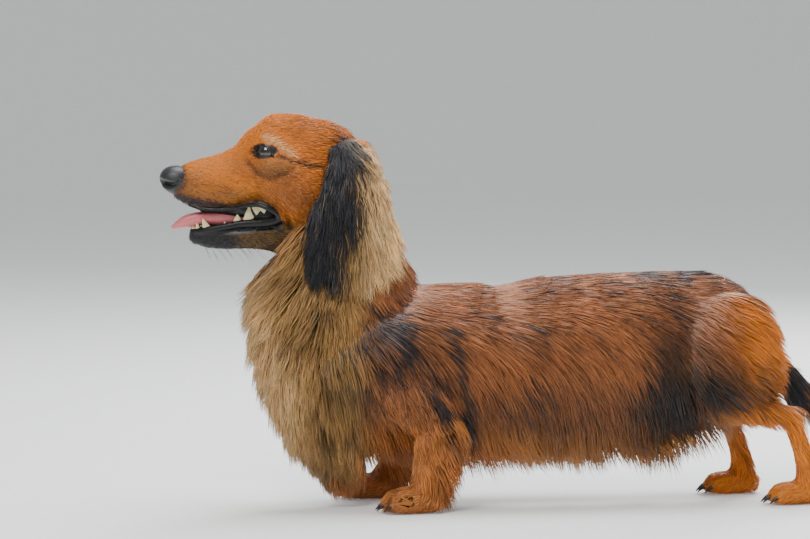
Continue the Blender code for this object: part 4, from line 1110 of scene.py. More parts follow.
print("black hairs on the skin of the body:", round(float(body_markings(SKIN_POINTS)[1].mean()), 2))

# %% [markdown]
# The head is orange, darker on the cheek and the bridge of the nose, with a pale brow. Lids, lips,
# chin and the skin round the nose are black.

# %% Markings of the head
UPPER_LIP = [
    (-262, 309), (-251, 307), (-228, 302), (-201, 302), (-181, 307), (-171, 309.5), (-160, 306),
    (-152, 298), (-147, 287),
]
LOWER_LIP = [
    (-250, 274), (-201, 274), (-187, 275), (-175, 278), (-160, 279), (-150, 281), (-147, 285),
]
BROW = [(-166, 371.5), (-159, 369.5), (-152, 365), (-146, 360), (-139, 354)]


def height_of(line, x):
    """The height of a line at each x."""
    x_at, z_at = np.array(line, float).T
    return np.interp(x, x_at, z_at)


def head_markings(own):
    """The same for the head, in its own straight axes, with lips, lids and gums."""
    x, z = own[:, 0], own[:, 2]
    warm = np.tile(ORANGE, (len(own), 1))
    warm = painted(warm, (
        (RED, blot(own, -128, 374, 30, 12) * 0.25 + blot(own, -190, 345, 22, 12) * 0.4),
        (RED, blot(own, -142, 316, 30, 22) * 0.8 * smooth_step(x, -182, -165)),
        (MUZZLE, blot(own, -160, 340, 20, 10) * 0.9),
        (GOLD, blot(own, -190, 312, 34, 8) * 0.7 + blot(own, -157, 344, 14, 4) * 0.5),
        (MUZZLE, blot(own, -212, 315, 24, 12) * 0.45),
        (PALE, near_line(own, BROW, 2.4) * 0.9),
        (MUZZLE, smooth_step(-x, 215, 246) * smooth_step(-z, -348, -325) * 0.8),
        (OLIVE, (1 - smooth_step(z, 282, 296)) * smooth_step(-x, 112, 140)),
        (SILK, blot(own, -62, 350, 18, 24, 2.0)),
    ))
    over_lip = z - height_of(UPPER_LIP, x)
    band = 3 + 9 * smooth_step(-x, 195, 232)
    dark = [
        0.9 * (1 - smooth_step(over_lip, band * 0.4, band * 1.1)) * smooth_step(-x, 170, 200)
        * (z > 285),
        0.98 * np.exp(-((np.linalg.norm(own - NOSE_CENTRE, axis=1) / 18) ** 8)),
        0.8 * blot(own, -88, 367, 15, 11) * smooth_step(np.abs(own[:, 1]), 8, 16),
        0.97 * (smooth_step(-x, 176, 204) * (1 - smooth_step(z, 282, 290)) * (x < -170)),
        0.30 * smooth_step(-x, 120, 150) * (1 - smooth_step(z, 280, 294)),
        # Painted shade darkens the crease under the eye.
        near_line(own, EYE_STREAK, 2.6) * 0.75, near_line(own, EYE_CREASE, 2.6) * 0.5,
    ]
    for side in SIDES.values():
        _, _, (c, a, b) = eye_view(own, side)
        rim = np.hypot((a + 1.0) / 14.6, (b - 0.8) / 7.6)
        dark.append((c > 0) * (1 - smooth_step(rim, 0.86, 1.10)) * 0.98)
    black = np.max(dark, axis=0)
    upper, lower = height_of(UPPER_LIP, x), height_of(LOWER_LIP, x)
    lip = (1 - smooth_step(z, upper - 1.2, upper + 1.2)) * smooth_step(z, lower - 1.5, lower + 1.5)
    lip *= 1 - smooth_step(x, -150, -145)
    return warm, np.clip(np.maximum(black, lip), 0, 1), lip


# %% Markings of the ears
def ear_markings(points):
    """The ear: black in front, and silky tan behind a slanting, uneven border."""
    x, z = points[:, 0], points[:, 2]
    border = -95 + (z - 300) * 0.14 + 7 * streaks(points, 18, 9)
    back = smooth_step(x, border - 8, border + 30)
    warm = mixed(np.tile(TAN, (len(points), 1)), SILK, smooth_step(x, -92, -64))
    return warm, np.clip(1.05 - back, 0.15, 0.96)


ears = on_zones("ear_left", "ear_right") > 0
print("black hairs on the ears:", round(float(ear_markings(SKIN_POINTS[ears])[1].mean()), 2))

# %% [markdown]
# The three markings are joined on the skin, with soft borders, and kept with each vertex: as a
# colour that the shader reads, and as the numbers that the tufts are coloured from. Lips, lids
# and the lining of the mouth are bare, so no tuft grows there.

# %% Colour the skin
def colour_attribute(obj, colours, name="Coat"):
    """Stores one colour for each vertex."""
    layer = obj.data.color_attributes.new(name, "FLOAT_COLOR", "POINT")
    layer.data.foreach_set("color", np.column_stack([colours, np.ones(len(colours))]).ravel())


def value_attribute(obj, values, name):
    """Stores one number for each vertex."""
    layer = obj.data.attributes.new(name, "FLOAT", "POINT")
    layer.data.foreach_set("value", np.asarray(values, np.float32))


def lid_skin(points):
    """1 on the bare skin of the lids and within them, 0 elsewhere."""
    own, bare = unturned(points), np.zeros(len(points))
    for side in SIDES.values():
        _, _, (c, a, b) = eye_view(own, side)
        bare = np.maximum(bare, (c > 0) * (1 - smooth_step(almond_gap(a, b), 1.5, 2.4)))
    return bare


def skin_markings(points):
    """Warm colour, share of black hairs, bare lips and the mouth's lining, all over the skin."""
    warm, black = body_markings(points)
    own = unturned(points)
    head_warm, head_black, bare = head_markings(own)
    share = spread_out(on_zones("head", "jaw")[:, None], 6, EDGES)[:, 0]
    warm, black = mixed(warm, head_warm, share), black + (head_black - black) * share
    ears = spread_out(on_zones("ear_left", "ear_right")[:, None], 2, EDGES)[:, 0]
    ear_warm, ear_black = ear_markings(points)
    warm, black = mixed(warm, ear_warm, ears), black + (ear_black - black) * ears
    along_jaw = np.clip(own[:, 0] - JAW.rows[0, 0], 0, 100)
    half = (own[:, 0] > -234) * through(JAW.knots, JAW.rows[:, 5:6], along_jaw)[:, 0]
    lining = bare * share * (1 - smooth_step(np.abs(own[:, 1]), half - 7.5, half - 5.0))
    return warm, np.clip(black, 0, 1), bare * share, lining


# The skin is darker than the hair above it by this factor, as painted shade between the tufts.
GAP_SHADE = 0.72
warm, black, lips, lining = skin_markings(SKIN_POINTS)
in_nose = (nose_reach(unturned(SKIN_POINTS)) < 0.97).astype(float)
SKIN_TINT = np.column_stack([warm, black])
SKIN_BARE = np.clip(lips + lining + lid_skin(SKIN_POINTS) + in_nose, 0, 1)
tint = mixed(mixed(mixed(warm * GAP_SHADE, BLUE_SHEEN_BLACK, black), LIP, lips), GUM, lining * 0.85)
colour_attribute(skin, tint)
value_attribute(skin, SKIN_BARE, "Bare")
print("bare vertices:", int((SKIN_BARE > 0.5).sum()), "of", len(SKIN_BARE))

# %% [markdown]
# ## Finishes
#
# Skin and coat are lit by the same kind of shader, with a colour attribute for the markings. The
# fine grain is used by almost every finish, so it is one node group: it varies a colour with
# noise, and gives the same noise as a height for bump. The shader and the bump stay outside it.

# %% Node helpers
def plug(tree, made, sockets):
    """Gives each named socket of a node a value, or links it to another node's output."""
    for key, value in sockets.items():
        if isinstance(value, bpy.types.NodeSocket):
            tree.links.new(value, made.inputs[key])
        else:
            made.inputs[key].default_value = value


def node(tree, kind, sockets=None, **values):
    """A node with its properties and sockets set."""
    made = tree.nodes.new(kind)
    for key, value in values.items():
        setattr(made, key, value)
    plug(tree, made, sockets or {})
    return made


def attribute(tree, name):
    """The factor and colour kept with each point under a name."""
    return node(tree, "ShaderNodeAttribute", attribute_name=name).outputs


def finish(name, roughness, colour=(0.5, 0.5, 0.5), **sockets):
    """A Principled material, and its tree and shader."""
    made = bpy.data.materials.new(name)
    made.use_nodes = True
    shader = made.node_tree.nodes["Principled BSDF"]
    named = {key.replace("_", " "): value for key, value in sockets.items()}
    plug(made.node_tree, shader, {"Base Color": (*colour, 1), "Roughness": roughness, **named})
    return made, made.node_tree, shader


# %% The grain
def grain_group():
    """Group: colour * (1 + (noise - 0.5) * amount), and the noise as a height."""
    tree = bpy.data.node_groups.new("grain", "ShaderNodeTree")
    for name, kind, value in (("Color", "NodeSocketColor", (0.5, 0.5, 0.5, 1)),
                              ("Vector", "NodeSocketVector", (0, 0, 0)),
                              ("Scale", "NodeSocketFloat", 400.0),
                              ("Amount", "NodeSocketFloat", 0.3)):
        socket = tree.interface.new_socket(name, in_out="INPUT", socket_type=kind)
        socket.default_value = value
    tree.interface.new_socket("Color", in_out="OUTPUT", socket_type="NodeSocketColor")
    tree.interface.new_socket("Height", in_out="OUTPUT", socket_type="NodeSocketFloat")
    given = node(tree, "NodeGroupInput").outputs
    noise = node(tree, "ShaderNodeTexNoise",
                 {"Vector": given["Vector"], "Scale": given["Scale"], "Detail": 3}).outputs["Fac"]
    centred = node(tree, "ShaderNodeMath", {0: noise, 1: 0.5}, operation="SUBTRACT")
    scaled = node(tree, "ShaderNodeMath", {0: centred.outputs[0], 1: given["Amount"], 2: 1.0},
                  operation="MULTIPLY_ADD")
    shaded = node(tree, "ShaderNodeVectorMath", {0: given["Color"], "Scale": scaled.outputs[0]},
                  operation="SCALE")
    node(tree, "NodeGroupOutput", {"Color": shaded.outputs[0], "Height": noise})
    return tree


GRAIN = grain_group()


def add_grain(tree, shader, colour, vector, scale, amount, bump, distance):
    """Puts the grain group between a colour and the shader, and its height into a bump."""
    if colour is None:
        colour = shader.inputs["Base Color"].default_value
    grain = node(tree, "ShaderNodeGroup",
                 {"Color": colour, "Vector": vector, "Scale": scale, "Amount": amount},
                 node_tree=GRAIN).outputs
    raised_up = node(tree, "ShaderNodeBump",
                     {"Strength": bump, "Distance": distance, "Height": grain["Height"]})
    plug(tree, shader, {"Base Color": grain["Color"], "Normal": raised_up.outputs["Normal"]})


def grained(name, roughness, colour, scale, amount, bump, distance, **sockets):
    """A finish of one colour, with the grain on the object's own axes."""
    made, tree, shader = finish(name, roughness, colour, **sockets)
    place = node(tree, "ShaderNodeTexCoord").outputs["Object"]
    add_grain(tree, shader, None, place, scale, amount, bump, distance)
    return made


print("grain:", len(GRAIN.nodes), "nodes")


# %% Finishes of skin and coat
def stretched(tree, place, scale):
    """A place, stretched by the Mapping node."""
    return node(tree, "ShaderNodeMapping", {"Vector": place, "Scale": scale}).outputs["Vector"]


def skin_finish():
    """Short fur as fine streaks that run along the body, and wet, bare lips."""
    made, tree, shader = finish("skin_fur", 0.55, Specular_IOR_Level=0.3)
    place = node(tree, "ShaderNodeTexCoord").outputs["Object"]
    add_grain(tree, shader, attribute(tree, "Coat")["Color"],
              stretched(tree, place, (0.22, 1.0, 0.8)), 1100, 0.9, 0.5, 0.0006)
    rough = node(tree, "ShaderNodeMapRange",
                 {"Value": attribute(tree, "Bare")["Fac"], "To Min": 0.55, "To Max": 0.28})
    plug(tree, shader, {"Roughness": rough.outputs["Result"]})
    return made


def coat_finish():
    """Hair: the tuft's own colour, with finer hairs drawn along it, and a soft gloss."""
    made, tree, shader = finish("coat_hair", 0.36, Specular_IOR_Level=0.6)
    strand = node(tree, "ShaderNodeUVMap", uv_map="Strand").outputs["UV"]
    add_grain(tree, shader, attribute(tree, "Coat")["Color"],
              stretched(tree, strand, (9.0, 1.2, 1.0)), 1.0, 1.1, 0.35, 0.0004)
    return made


SKIN_FUR, COAT_HAIR = skin_finish(), coat_finish()
skin.data.materials.clear()
skin.data.materials.append(SKIN_FUR)
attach(skin, "root")
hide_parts("head", "lower_jaw", "neck", "torso", "tail", "ear_left", "ear_right",
            "foreleg_left", "foreleg_right", "hindleg_left", "hindleg_right")
print("finishes:", ", ".join(material.name for material in (SKIN_FUR, COAT_HAIR)))

# %% [markdown]
# ## The coat
#
# Real hair here would be millions of curves, which other programs can't read. So the coat is
# solid mesh: each tuft is a thin, three-sided blade that stands for a pinch of hairs. Its middle
# line starts on the skin, leaves along the lie of the coat, and bends down. Tufts are gathered
# into locks, whose tips draw together, and whole locks wave, which is what makes a long coat
# look combed by wind and not by a machine.

# %% [markdown]
# ### Lie, length and thickness
#
# Each part of the body has its own rule, which gives seven numbers at each vertex: the three of
# the direction in which the hair lies, its length, the tuft's width, how far it lifts from the
# skin, and how much it droops.
#
# - On the back the coat lies flat and runs to the tail. Down the side it turns downwards and
#   grows longer, and from the lower edge of the trunk it hangs as a fringe.
# - The bib is the cascade in front of the chest, from the throat to between the forelegs.
# - The ears carry silky hair that sweeps down and back.
# - Legs are short-haired in front and feathered behind, and the tail carries a flag.
# - The face is short-haired: fine, flat tufts run back from the nose and part round the eyes.
#
# Every rule is called with the share t along its form, the angle round it, the points and their
# side, and uses what it needs.

# %% Rules of the trunk
def rule(t, way, length, width, lift, droop):
    """The seven columns of a rule, each of them as long as t."""
    columns = (*way, length, width, lift, droop)
    return np.column_stack([np.broadcast_to(column, len(t)) for column in columns])


def trunk_rule(t, angle, points, side):
    """Level along the back, steeper by an even S down the side, and longest at the fringe."""
    u, x = np.sin(angle), points[:, 0]
    slope = np.radians(5 + 66 * smooth_step(-u, -0.95, 0.45))
    slope += np.radians(22) * (1 - smooth_step(x, -60, 30)) * smooth_step(-u, -0.9, 0.0)
    slope -= np.radians(36) * smooth_step(x, 225, 285) * smooth_step(-u, -0.9, 0.0)
    slope = np.clip(slope, 0.05, np.radians(84))
    way = np.cos(slope), 0.10 * side * smooth_step(-u, 0.3, 0.8), -np.sin(slope)
    length = 30 + 18 * smooth_step(-u, -0.7, 0.1) + 16 * smooth_step(-u, 0.4, 0.85)
    length += (10 + 16 * smooth_step(x, 160, 225)) * smooth_step(x, 0, 50) * smooth_step(-u, 0.25, 0.7)
    length -= 24 * smooth_step(-u, 0.93, 1.0)
    length *= 1 - 0.3 * smooth_step(x, 290, 330)
    droop = 0.10 + 0.32 * smooth_step(-u, -0.4, 0.6)
    return rule(t, way, length, 1.25 + 0.25 * smooth_step(-u, 0.2, 0.8),
                0.09 + 0.12 * smooth_step(-u, 0.45, 0.9), droop)


def neck_rule(t, angle, points, side):
    """Down and back, but down and forward over the throat, where the hair stands out."""
    rear = np.sin(angle)
    throat = smooth_step(-rear, 0.2, 0.85) * smooth_step(t, 0.1, 0.3)
    back = 1.6 * smooth_step(rear, 0, 0.8) * smooth_step(t, 0.45, 0.85)
    way = 0.30 + 0.42 * rear - 1.7 * throat + back, 0.15 * side * throat, -1.0
    return rule(t, way, 38 + 22 * throat, 1.3, 0.16 + 1.0 * throat, 0.30 - 0.12 * throat)


def bib_rule(t, angle, points, side):
    """Down, and outwards as the cosine of the angle. It lifts most at the top in front."""
    front = np.sin(-angle)
    high = (1 - smooth_step(t, 0.1, 0.45)) * smooth_step(front, 0.0, 0.8)
    way = 0.30 - 0.22 * front - 0.4 * high, 0.28 * np.cos(angle), -1.0
    length = 60 * (1 - 0.30 * smooth_step(t, 0.75, 1)) * (1 - 0.15 * (1 - smooth_step(t, 0, 0.2)))
    return rule(t, way, length, 1.6, 0.36 + 0.10 * front + 0.30 * high, 0.50)


def tail_rule(t, angle, points, side):
    """Along the tail, and down below it, growing shorter towards the tip."""
    below = smooth_step(-np.sin(angle), -0.1, 0.8) * smooth_step(t, 0.15, 0.4)
    way = ZONES["tail"].stations(t)[2] + below[:, None] * [0.25, 0, -0.9]
    length = np.minimum(34 + 24 * below, 14 + 60 * (1.02 - t) + 34 * below)
    return rule(t, way.T, length, 1.45, 0.22, 0.15 + 0.25 * below)


# %% Rules of the legs, ears and head
def leg_rule(lean, short, feather, stand=0.26):
    """A stretch of leg: `short` in front, `feather` mm long behind, where it may stand out."""
    def made(t, angle, points, side):
        """Down with a lean, and longer behind by an even S of the angle's sine."""
        rear = smooth_step(np.sin(angle), -0.1, 0.8)
        way = lean + 0.45 * rear, 0.0, -1.0
        return rule(t, way, short + (feather - short) * rear, 1.3, 0.12 + stand * rear, 0.25)
    return made


def paw_rule(t, angle, points, side):
    """Short, forwards over the toes."""
    return rule(t, (-1.0, 0.0, -0.35), 8.0, 1.0, 0.12, 0.2)


def ear_rule(t, angle, points, side):
    """Down, fanned out to both edges, longer on the outer face, below and at the rear edge."""
    rear, outer = np.sin(angle), smooth_step(np.cos(angle) * side, -0.4, 0.1)
    way = 0.10 + 0.44 * rear + 0.30 * smooth_step(rear, 0, 1), 0.0, -1.0
    edge = 1 + 0.22 * np.abs(rear) + 0.2 * smooth_step(rear, 0.2, 1)
    length = (34 + 21 * outer) * (0.6 + 0.4 * smooth_step(t, 0.0, 0.7)) * edge
    return rule(t, way, length, 1.2, 0.10, 0.08)


def head_rule(t, angle, points, side):
    """Back from the nose, and away from each eye by exp(-(distance / 18)^2)."""
    own = unturned(points)
    x, y, z = own.T
    down = 0.35 * smooth_step(-z, -350, -310) + 0.25 * smooth_step(x, -130, -90)
    way = np.column_stack([np.ones(len(t)), 0.12 * np.sign(y), -down])
    close = np.zeros(len(t))
    for eye_side in SIDES.values():
        away = own - EYE_CENTRE * [1, eye_side, 1]
        near = np.exp(-(np.linalg.norm(away, axis=1) / 18) ** 2)
        way += unit(away) * [0.9, 0, 1.5] * near[:, None]
        close = np.maximum(close, np.exp(-(np.linalg.norm(away, axis=1) / 15.5) ** 4))
    length = 4.5 + 5.5 * smooth_step(x, -235, -150) + 6 * smooth_step(x, -130, -90)
    length *= 1 - 0.55 * close
    return rule(t, turned_way(way).T, length, 0.54 + 0.26 * smooth_step(x, -200, -110), 0.17, 0.06)


RULES = {
    "torso": trunk_rule, "neck": neck_rule, "bib": bib_rule, "tail": tail_rule,
    "head": head_rule, "jaw": head_rule, "ear": ear_rule,
    "upper_arm": leg_rule(0.55, 28, 42, 0.08), "forearm": leg_rule(0.25, 18, 46),
    "thigh": leg_rule(1.7, 34, 38, 0.0), "shank": leg_rule(0.7, 24, 46),
    "pastern": leg_rule(0.25, 16, 32), "fore_paw": paw_rule, "hind_paw": paw_rule,
}
print("rules:", ", ".join(RULES))


# %% The rules on the skin
def rule_and_side(name):
    """A zone's rule and its side, from its name."""
    for end, side in SIDES.items():
        if name.endswith("_" + end):
            return RULES[name[:-len(end) - 1]], side
    return RULES[name], None


fields = np.zeros((len(SKIN_POINTS), 7))
for index, name in enumerate(ZONE_NAMES):
    here = SKIN_ZONE == index
    made_rule, side = rule_and_side(name)
    side = np.sign(SKIN_POINTS[here, 1]) if side is None else side
    got = made_rule(SKIN_SHARE[here], SKIN_ANGLE[here], SKIN_POINTS[here], side)
    got[:, :3] = unit(got[:, :3])
    fields[here] = got
FIELDS = spread_out(fields, 40, EDGES)
print("hair on the skin:", *np.round(np.quantile(FIELDS[:, 3], [0, 0.5, 1]), 1), "mm, least to most")

# %% [markdown]
# ### Roots
#
# Roots are spread evenly by area over the triangles of one part of the skin. A running sum of
# the triangles' areas is read at even steps, each moved a little at random, so that no place is
# left bare.

# %% Roots
skin.data.calc_loop_triangles()
TRIANGLES = np.empty(len(skin.data.loop_triangles) * 3, np.int32)
skin.data.loop_triangles.foreach_get("vertices", TRIANGLES)
TRIANGLES = TRIANGLES.reshape(-1, 3)
CORNERS = SKIN_POINTS[TRIANGLES]
FIRST, SECOND = CORNERS[:, 1] - CORNERS[:, 0], CORNERS[:, 2] - CORNERS[:, 0]
TWICE_AREAS = np.linalg.norm(np.cross(FIRST, SECOND), axis=1)
CENTRES = CORNERS.mean(axis=1)
print("the skin has", round(TWICE_AREAS.sum() / 200), "square cm in", len(TRIANGLES), "triangles")


def sown(count, weight):
    """The corners of `count` roots' triangles, and each root's shares of the three corners."""
    total = np.cumsum(TWICE_AREAS * weight)
    want = (np.arange(count) + chance.uniform(0, 1, count)) / count * total[-1]
    chosen = np.minimum(np.searchsorted(total, want), len(TRIANGLES) - 1)
    a, b = np.sqrt(chance.uniform(0, 1, count)), chance.uniform(0, 1, count)
    return TRIANGLES[chosen], np.column_stack([1 - a, a * (1 - b), a * b])


def at_roots(values, corners, shares):
    """Values of the vertices, carried over to the roots."""
    return np.einsum("ij,ijk->ik", shares, values[corners])


# %% [markdown]
# ### From roots to locks
#
# A tuft's middle line is a curve of three points: root, bend and tip. Neighbouring lines draw
# together towards one of them, which makes a lock, and each lock then waves in its own time.

# %% Middle lines
def strands(roots, normals, way, length, lift, droop, parts):
    """Middle lines: (1 - s)^2 * root + 2 s (1 - s) * bend + s^2 * tip.

    They leave along the lie, flat on the skin but for `lift`, and turn towards straight down by
    `droop`. Returns points (tuft, step, xyz).
    """
    flat = unit(way - normals * np.sum(way * normals, axis=1, keepdims=True))
    leave = unit(flat + normals * lift[:, None])
    fall = unit(leave * (1 - droop[:, None]) - UP * droop[:, None])
    bend = roots + leave * (0.45 * length)[:, None]
    tip = bend + fall * (0.55 * length)[:, None]
    s = np.linspace(0, 1, parts + 1)[None, :, None]
    return (1 - s) ** 2 * roots[:, None] + 2 * s * (1 - s) * bend[:, None] + s**2 * tip[:, None]


# %% Locks and waves
def gathered(lines, size, pull):
    """Draws the tips of neighbouring tufts together, by pull * s^1.4, in locks of `size` tufts.

    Returns the lines, each one's lock, and how far out in its lock it stands, 0 to about 1.
    """
    count = max(len(lines) // size, 1)
    leaders = chance.choice(len(lines), count, replace=False)
    lock = nearest(lines[:, 0], lines[leaders, 0])
    guide = lines[leaders][lock]
    s = np.linspace(0, 1, lines.shape[1])[None, :, None]
    share = pull * s**1.4
    apart = lines[:, :1] - guide[:, :1]
    follow = guide + apart * 0.25
    out = np.linalg.norm(apart[:, 0], axis=1)
    return lines * (1 - share) + follow * share, lock, out / max(np.percentile(out, 90), 1e-6)


def waved(lines, normals, lock, length, height, wavelength):
    """Swings each tuft from side to side: height * sin(2 pi * distance / wavelength + phase)."""
    along = unit(lines[:, -1] - lines[:, 0])
    side = unit(np.cross(along, normals))
    phase = chance.uniform(0, 2 * np.pi, lock.max() + 1)[lock]
    phase = phase + chance.normal(0, 0.35, len(lines))
    size = height * chance.uniform(0.4, 1.3, lock.max() + 1)[lock]
    s = np.linspace(0, 1, lines.shape[1])[None, :]
    swing = np.sin(2 * np.pi * s * (length / wavelength)[:, None] + phase[:, None])
    swing = (swing - np.sin(phase)[:, None]) * size[:, None] * s**0.6
    return lines + side[:, None] * swing[:, :, None]


def settled(lines, clear):
    """Pushes whatever points lie under the skin out of it, with Blender's Shrinkwrap."""
    flat = lines.reshape(-1, 3)
    cloud = make_object("cloud", flat, [np.arange(len(flat) // 3 * 3).reshape(-1, 3)])
    step = cloud.modifiers.new("settle", "SHRINKWRAP")
    step.target, step.wrap_method, step.wrap_mode = skin, "NEAREST_SURFACEPOINT", "OUTSIDE"
    step.offset = clear * MM
    applied(cloud)
    moved = positions(cloud).reshape(lines.shape)
    bpy.data.objects.remove(cloud)
    return moved


# %% [markdown]
# ### Blades
#
# A blade is built round its middle line: at each step three points, two at its edges and one on
# its ridge, and one point at the tip. All blades of a piece have the same faces, so the faces of
# one are repeated with a moving start. Each also gets two maps: Strand runs across and along
# the tuft, for the fine hairs, and OFBake gives every tuft a patch of its own, at the place of
# its root when the form that it grows on is rolled out flat.

# %% Blades
def blade_faces(rings):
    """Faces of one blade: quads between rings, a fan at the tip and one face at the root."""
    k = np.arange(3)
    n = (k + 1) % 3
    base = 3 * np.arange(rings - 1)[:, None]
    quads = np.stack([base + n, base + k, base + k + 3, base + n + 3], axis=-1).reshape(-1, 4)
    top = 3 * (rings - 1)
    fans = np.column_stack([top + n, top + k, np.full(3, 3 * rings)])
    return quads, np.vstack([fans, [[0, 1, 2]]])


def blade_profile(s, tip=0.85):
    """The width along a tuft: narrow at its root, full by a third, and fine at its tip."""
    return (0.55 + 0.45 * smooth_step(s, 0, 0.3)) * (1 - s**2.2) ** tip


print("a blade of 4 rings:", *(len(block) for block in blade_faces(4)), "quads and triangles")


# %% A piece of coat from its middle lines
PATCH = 0.003
FLATNESS = 0.38


def make_tufts(name, lines, normals, width, colours, place):
    """One coat piece: a closed blade round each middle line. Returns the object."""
    count, rings = len(lines), lines.shape[1] - 1
    s = np.linspace(0, 1, rings + 1)
    along = unit(np.gradient(lines, axis=1))
    out = normals[:, None] + [0, 0, 0.05] + 0.35 * np.sign(lines[:, :, 1:2]) * [0, 1, 0]
    out = unit(out - along * np.sum(out * along, axis=2, keepdims=True))
    side = np.cross(along, out)
    roll = chance.normal(0, 0.32, count)[:, None, None]
    side, out = side * np.cos(roll) + out * np.sin(roll), out * np.cos(roll) - side * np.sin(roll)
    full = blade_profile(s)[None, :, None] * width[:, None, None]
    wide, deep = side * (full / 2), out * (full * FLATNESS)
    ring = np.stack([lines + wide, lines + deep, lines - wide], axis=2)[:, :-1]
    verts = np.concatenate([ring.reshape(count, -1, 3), lines[:, -1:]], axis=1)
    low = np.array([*(cad_low / MM - SHIFT)[:2], FLOOR_GAP])
    verts = np.clip(verts, low, cad_high / MM - SHIFT)
    quads, fans = blade_faces(rings)
    start = (np.arange(count) * verts.shape[1])[:, None, None]
    faces = [(quads[None] + start).reshape(-1, 4), (fans[None] + start).reshape(-1, 3)]
    obj = make_object(name, verts.reshape(-1, 3), faces)
    share = np.append(np.repeat(s[:-1], 3), 1.0)
    across = np.append(np.tile([0.0, 0.5, 1.0], rings), 0.5)
    colour_attribute(obj, colours(share).reshape(-1, 3))
    random_start = chance.uniform(0, 50, (count, 1))
    strand = np.stack([across + random_start, share + random_start * 0.7], axis=-1)
    patch = np.stack([place[:, :1] + (across - 0.5) * PATCH,
                      place[:, 1:] + (share - 0.5) * PATCH], axis=-1)
    corners = np.empty(len(obj.data.loops), np.int32)
    obj.data.loops.foreach_get("vertex_index", corners)
    for label, uv in (("OFBake", patch), ("Strand", strand)):
        layer = obj.data.uv_layers.new(name=label, do_init=False)
        layer.data.foreach_set("uv", uv.reshape(-1, 2)[corners].astype(np.float32).ravel())
    obj.data.materials.append(COAT_HAIR)
    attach(obj, "root")
    print(f"{name}: {count} tufts, {count * (6 * (rings - 1) + 4)} triangles")
    return obj


# %% [markdown]
# ### The whole recipe
#
# `grow` is the whole recipe for one piece of coat: it sows roots on the chosen zones, carries the rules
# over to them, draws the middle lines, gathers them into locks twice, first wide and then narrow, lets
# the locks wave, and colours each tuft. A tuft at the edge of its lock is darker than one in its middle,
# as painted shade between the locks. Each tuft is darker at its root with painted shade and lighter
# towards its tip, and a black-tipped hair is red at its root, as on a sable coat.
# The root's place on the rolled-out form goes with the tuft, for the OFBake map.

# %% Rolled-out places
def rolled_out(zone, share, angle):
    """Places in the unit square: a strip for each zone, with the angle across and t upwards."""
    place = np.zeros((len(zone), 2))
    kinds = np.unique(zone)
    for strip, kind in enumerate(kinds):
        here = zone == kind
        around = np.mod(angle[here] / (2 * np.pi) + 0.25, 1.0)
        both = np.column_stack([around, share[here]])
        low, high = both.min(axis=0), both.max(axis=0)
        both = 0.01 + 0.98 * (both - low) / np.maximum(high - low, 1e-6)
        place[here] = [strip / len(kinds), 0] + both * [1 / len(kinds), 1]
    return place


# %% Grow one piece of coat
ROOT_DEPTH = 1.2


def grow(name, zones, count, part=None, parts=4, locks=(70, 14), pulls=(0.3, 0.5),
         wave=(1.2, 34.0), clear=0.4, shade=(0.66, 1.14)):
    """Makes one coat piece on the zones, where `part` of the triangles' centres is true."""
    weight = on_zones(*zones)[TRIANGLES[:, 0]] * (1 - SKIN_BARE[TRIANGLES[:, 0]])
    if part is not None:
        weight = weight * part(CENTRES, np.sin(SKIN_ANGLE[TRIANGLES[:, 0]]))
    corners, shares = sown(count, weight)
    roots = at_roots(SKIN_POINTS, corners, shares)
    normals, field = at_roots(SKIN_NORMALS, corners, shares), at_roots(FIELDS, corners, shares)
    normals = unit(normals)
    length = field[:, 3] * chance.uniform(0.72, 1.15, count)
    way = unit(field[:, :3]) + chance.normal(0, 0.06, (count, 3))
    for axis, seed in enumerate((31, 32, 33)):
        way[:, axis] += 0.13 * streaks(roots, 18, seed)
    lift = field[:, 5] * chance.uniform(0.5, 1.4, count)
    lines = strands(roots, normals, way, length, lift, field[:, 6], parts)
    lines, wide_lock, wide_out = gathered(lines, locks[0], pulls[0])
    lines, lock, out = gathered(lines, locks[1], pulls[1])
    if wave[0]:
        lines = waved(lines, normals, wide_lock, length, *wave)
        lines = waved(lines, normals, lock, length, wave[0] * 0.5, wave[1] * 0.7)
    lines = settled(lines, clear)
    lines[:, 0] -= normals * ROOT_DEPTH
    tint = at_roots(SKIN_TINT, corners, shares)
    warm, black = tint[:, :3], tint[:, 3]
    luck = 0.4 * chance.uniform(0, 1, lock.max() + 1)[lock] + 0.6 * chance.uniform(0, 1, count)
    dark = smooth_step(black - luck, -0.22, 0.22)
    # Random tone, and painted shade that darkens the tufts towards the edges of their locks.
    tone_and_lock_shade = chance.normal(1, 0.14, count) * (1.12 - 0.26 * out**2) * (1.07 - 0.18 * wide_out**2)
    tone_and_lock_shade = np.clip(tone_and_lock_shade * (1 + 0.14 * streaks(roots, 11, 41)), 0.35, 1.6)
    own = warm * tone_and_lock_shade[:, None] * (1 + chance.normal(0, 0.05, (count, 3)) * [0.4, 1, 1])
    sooty = BLUE_SHEEN_BLACK * chance.uniform(0.7, 1.5, (count, 1))

    def colours(share):
        """Each tuft's colour at shares of its length: painted shade at its root, lighter outwards, and
        black to the tip.
        """
        root_shade_ramp = (shade[0] + (shade[1] - shade[0]) * share**0.8)[None, :, None]
        tipped = dark[:, None] * (0.62 + 0.38 * smooth_step(share, 0.1, 0.6))[None, :]
        tipped = np.where(black[:, None] > 0.8, dark[:, None], tipped)[:, :, None]
        return own[:, None] * root_shade_ramp * (1 - tipped) + sooty[:, None] * tipped

    zone, share, angle = zones_of(roots)
    obj = make_tufts(name, lines, normals, field[:, 4] * chance.uniform(0.7, 1.25, count), colours,
                     rolled_out(zone, share, angle))
    return obj


# %% [markdown]
# ### All pieces of the coat
#
# Each piece stays under 200,000 triangles, so the coat is grown in parts, alike on both sides. The
# numbers were judged: long hair waves more and gathers in larger locks.

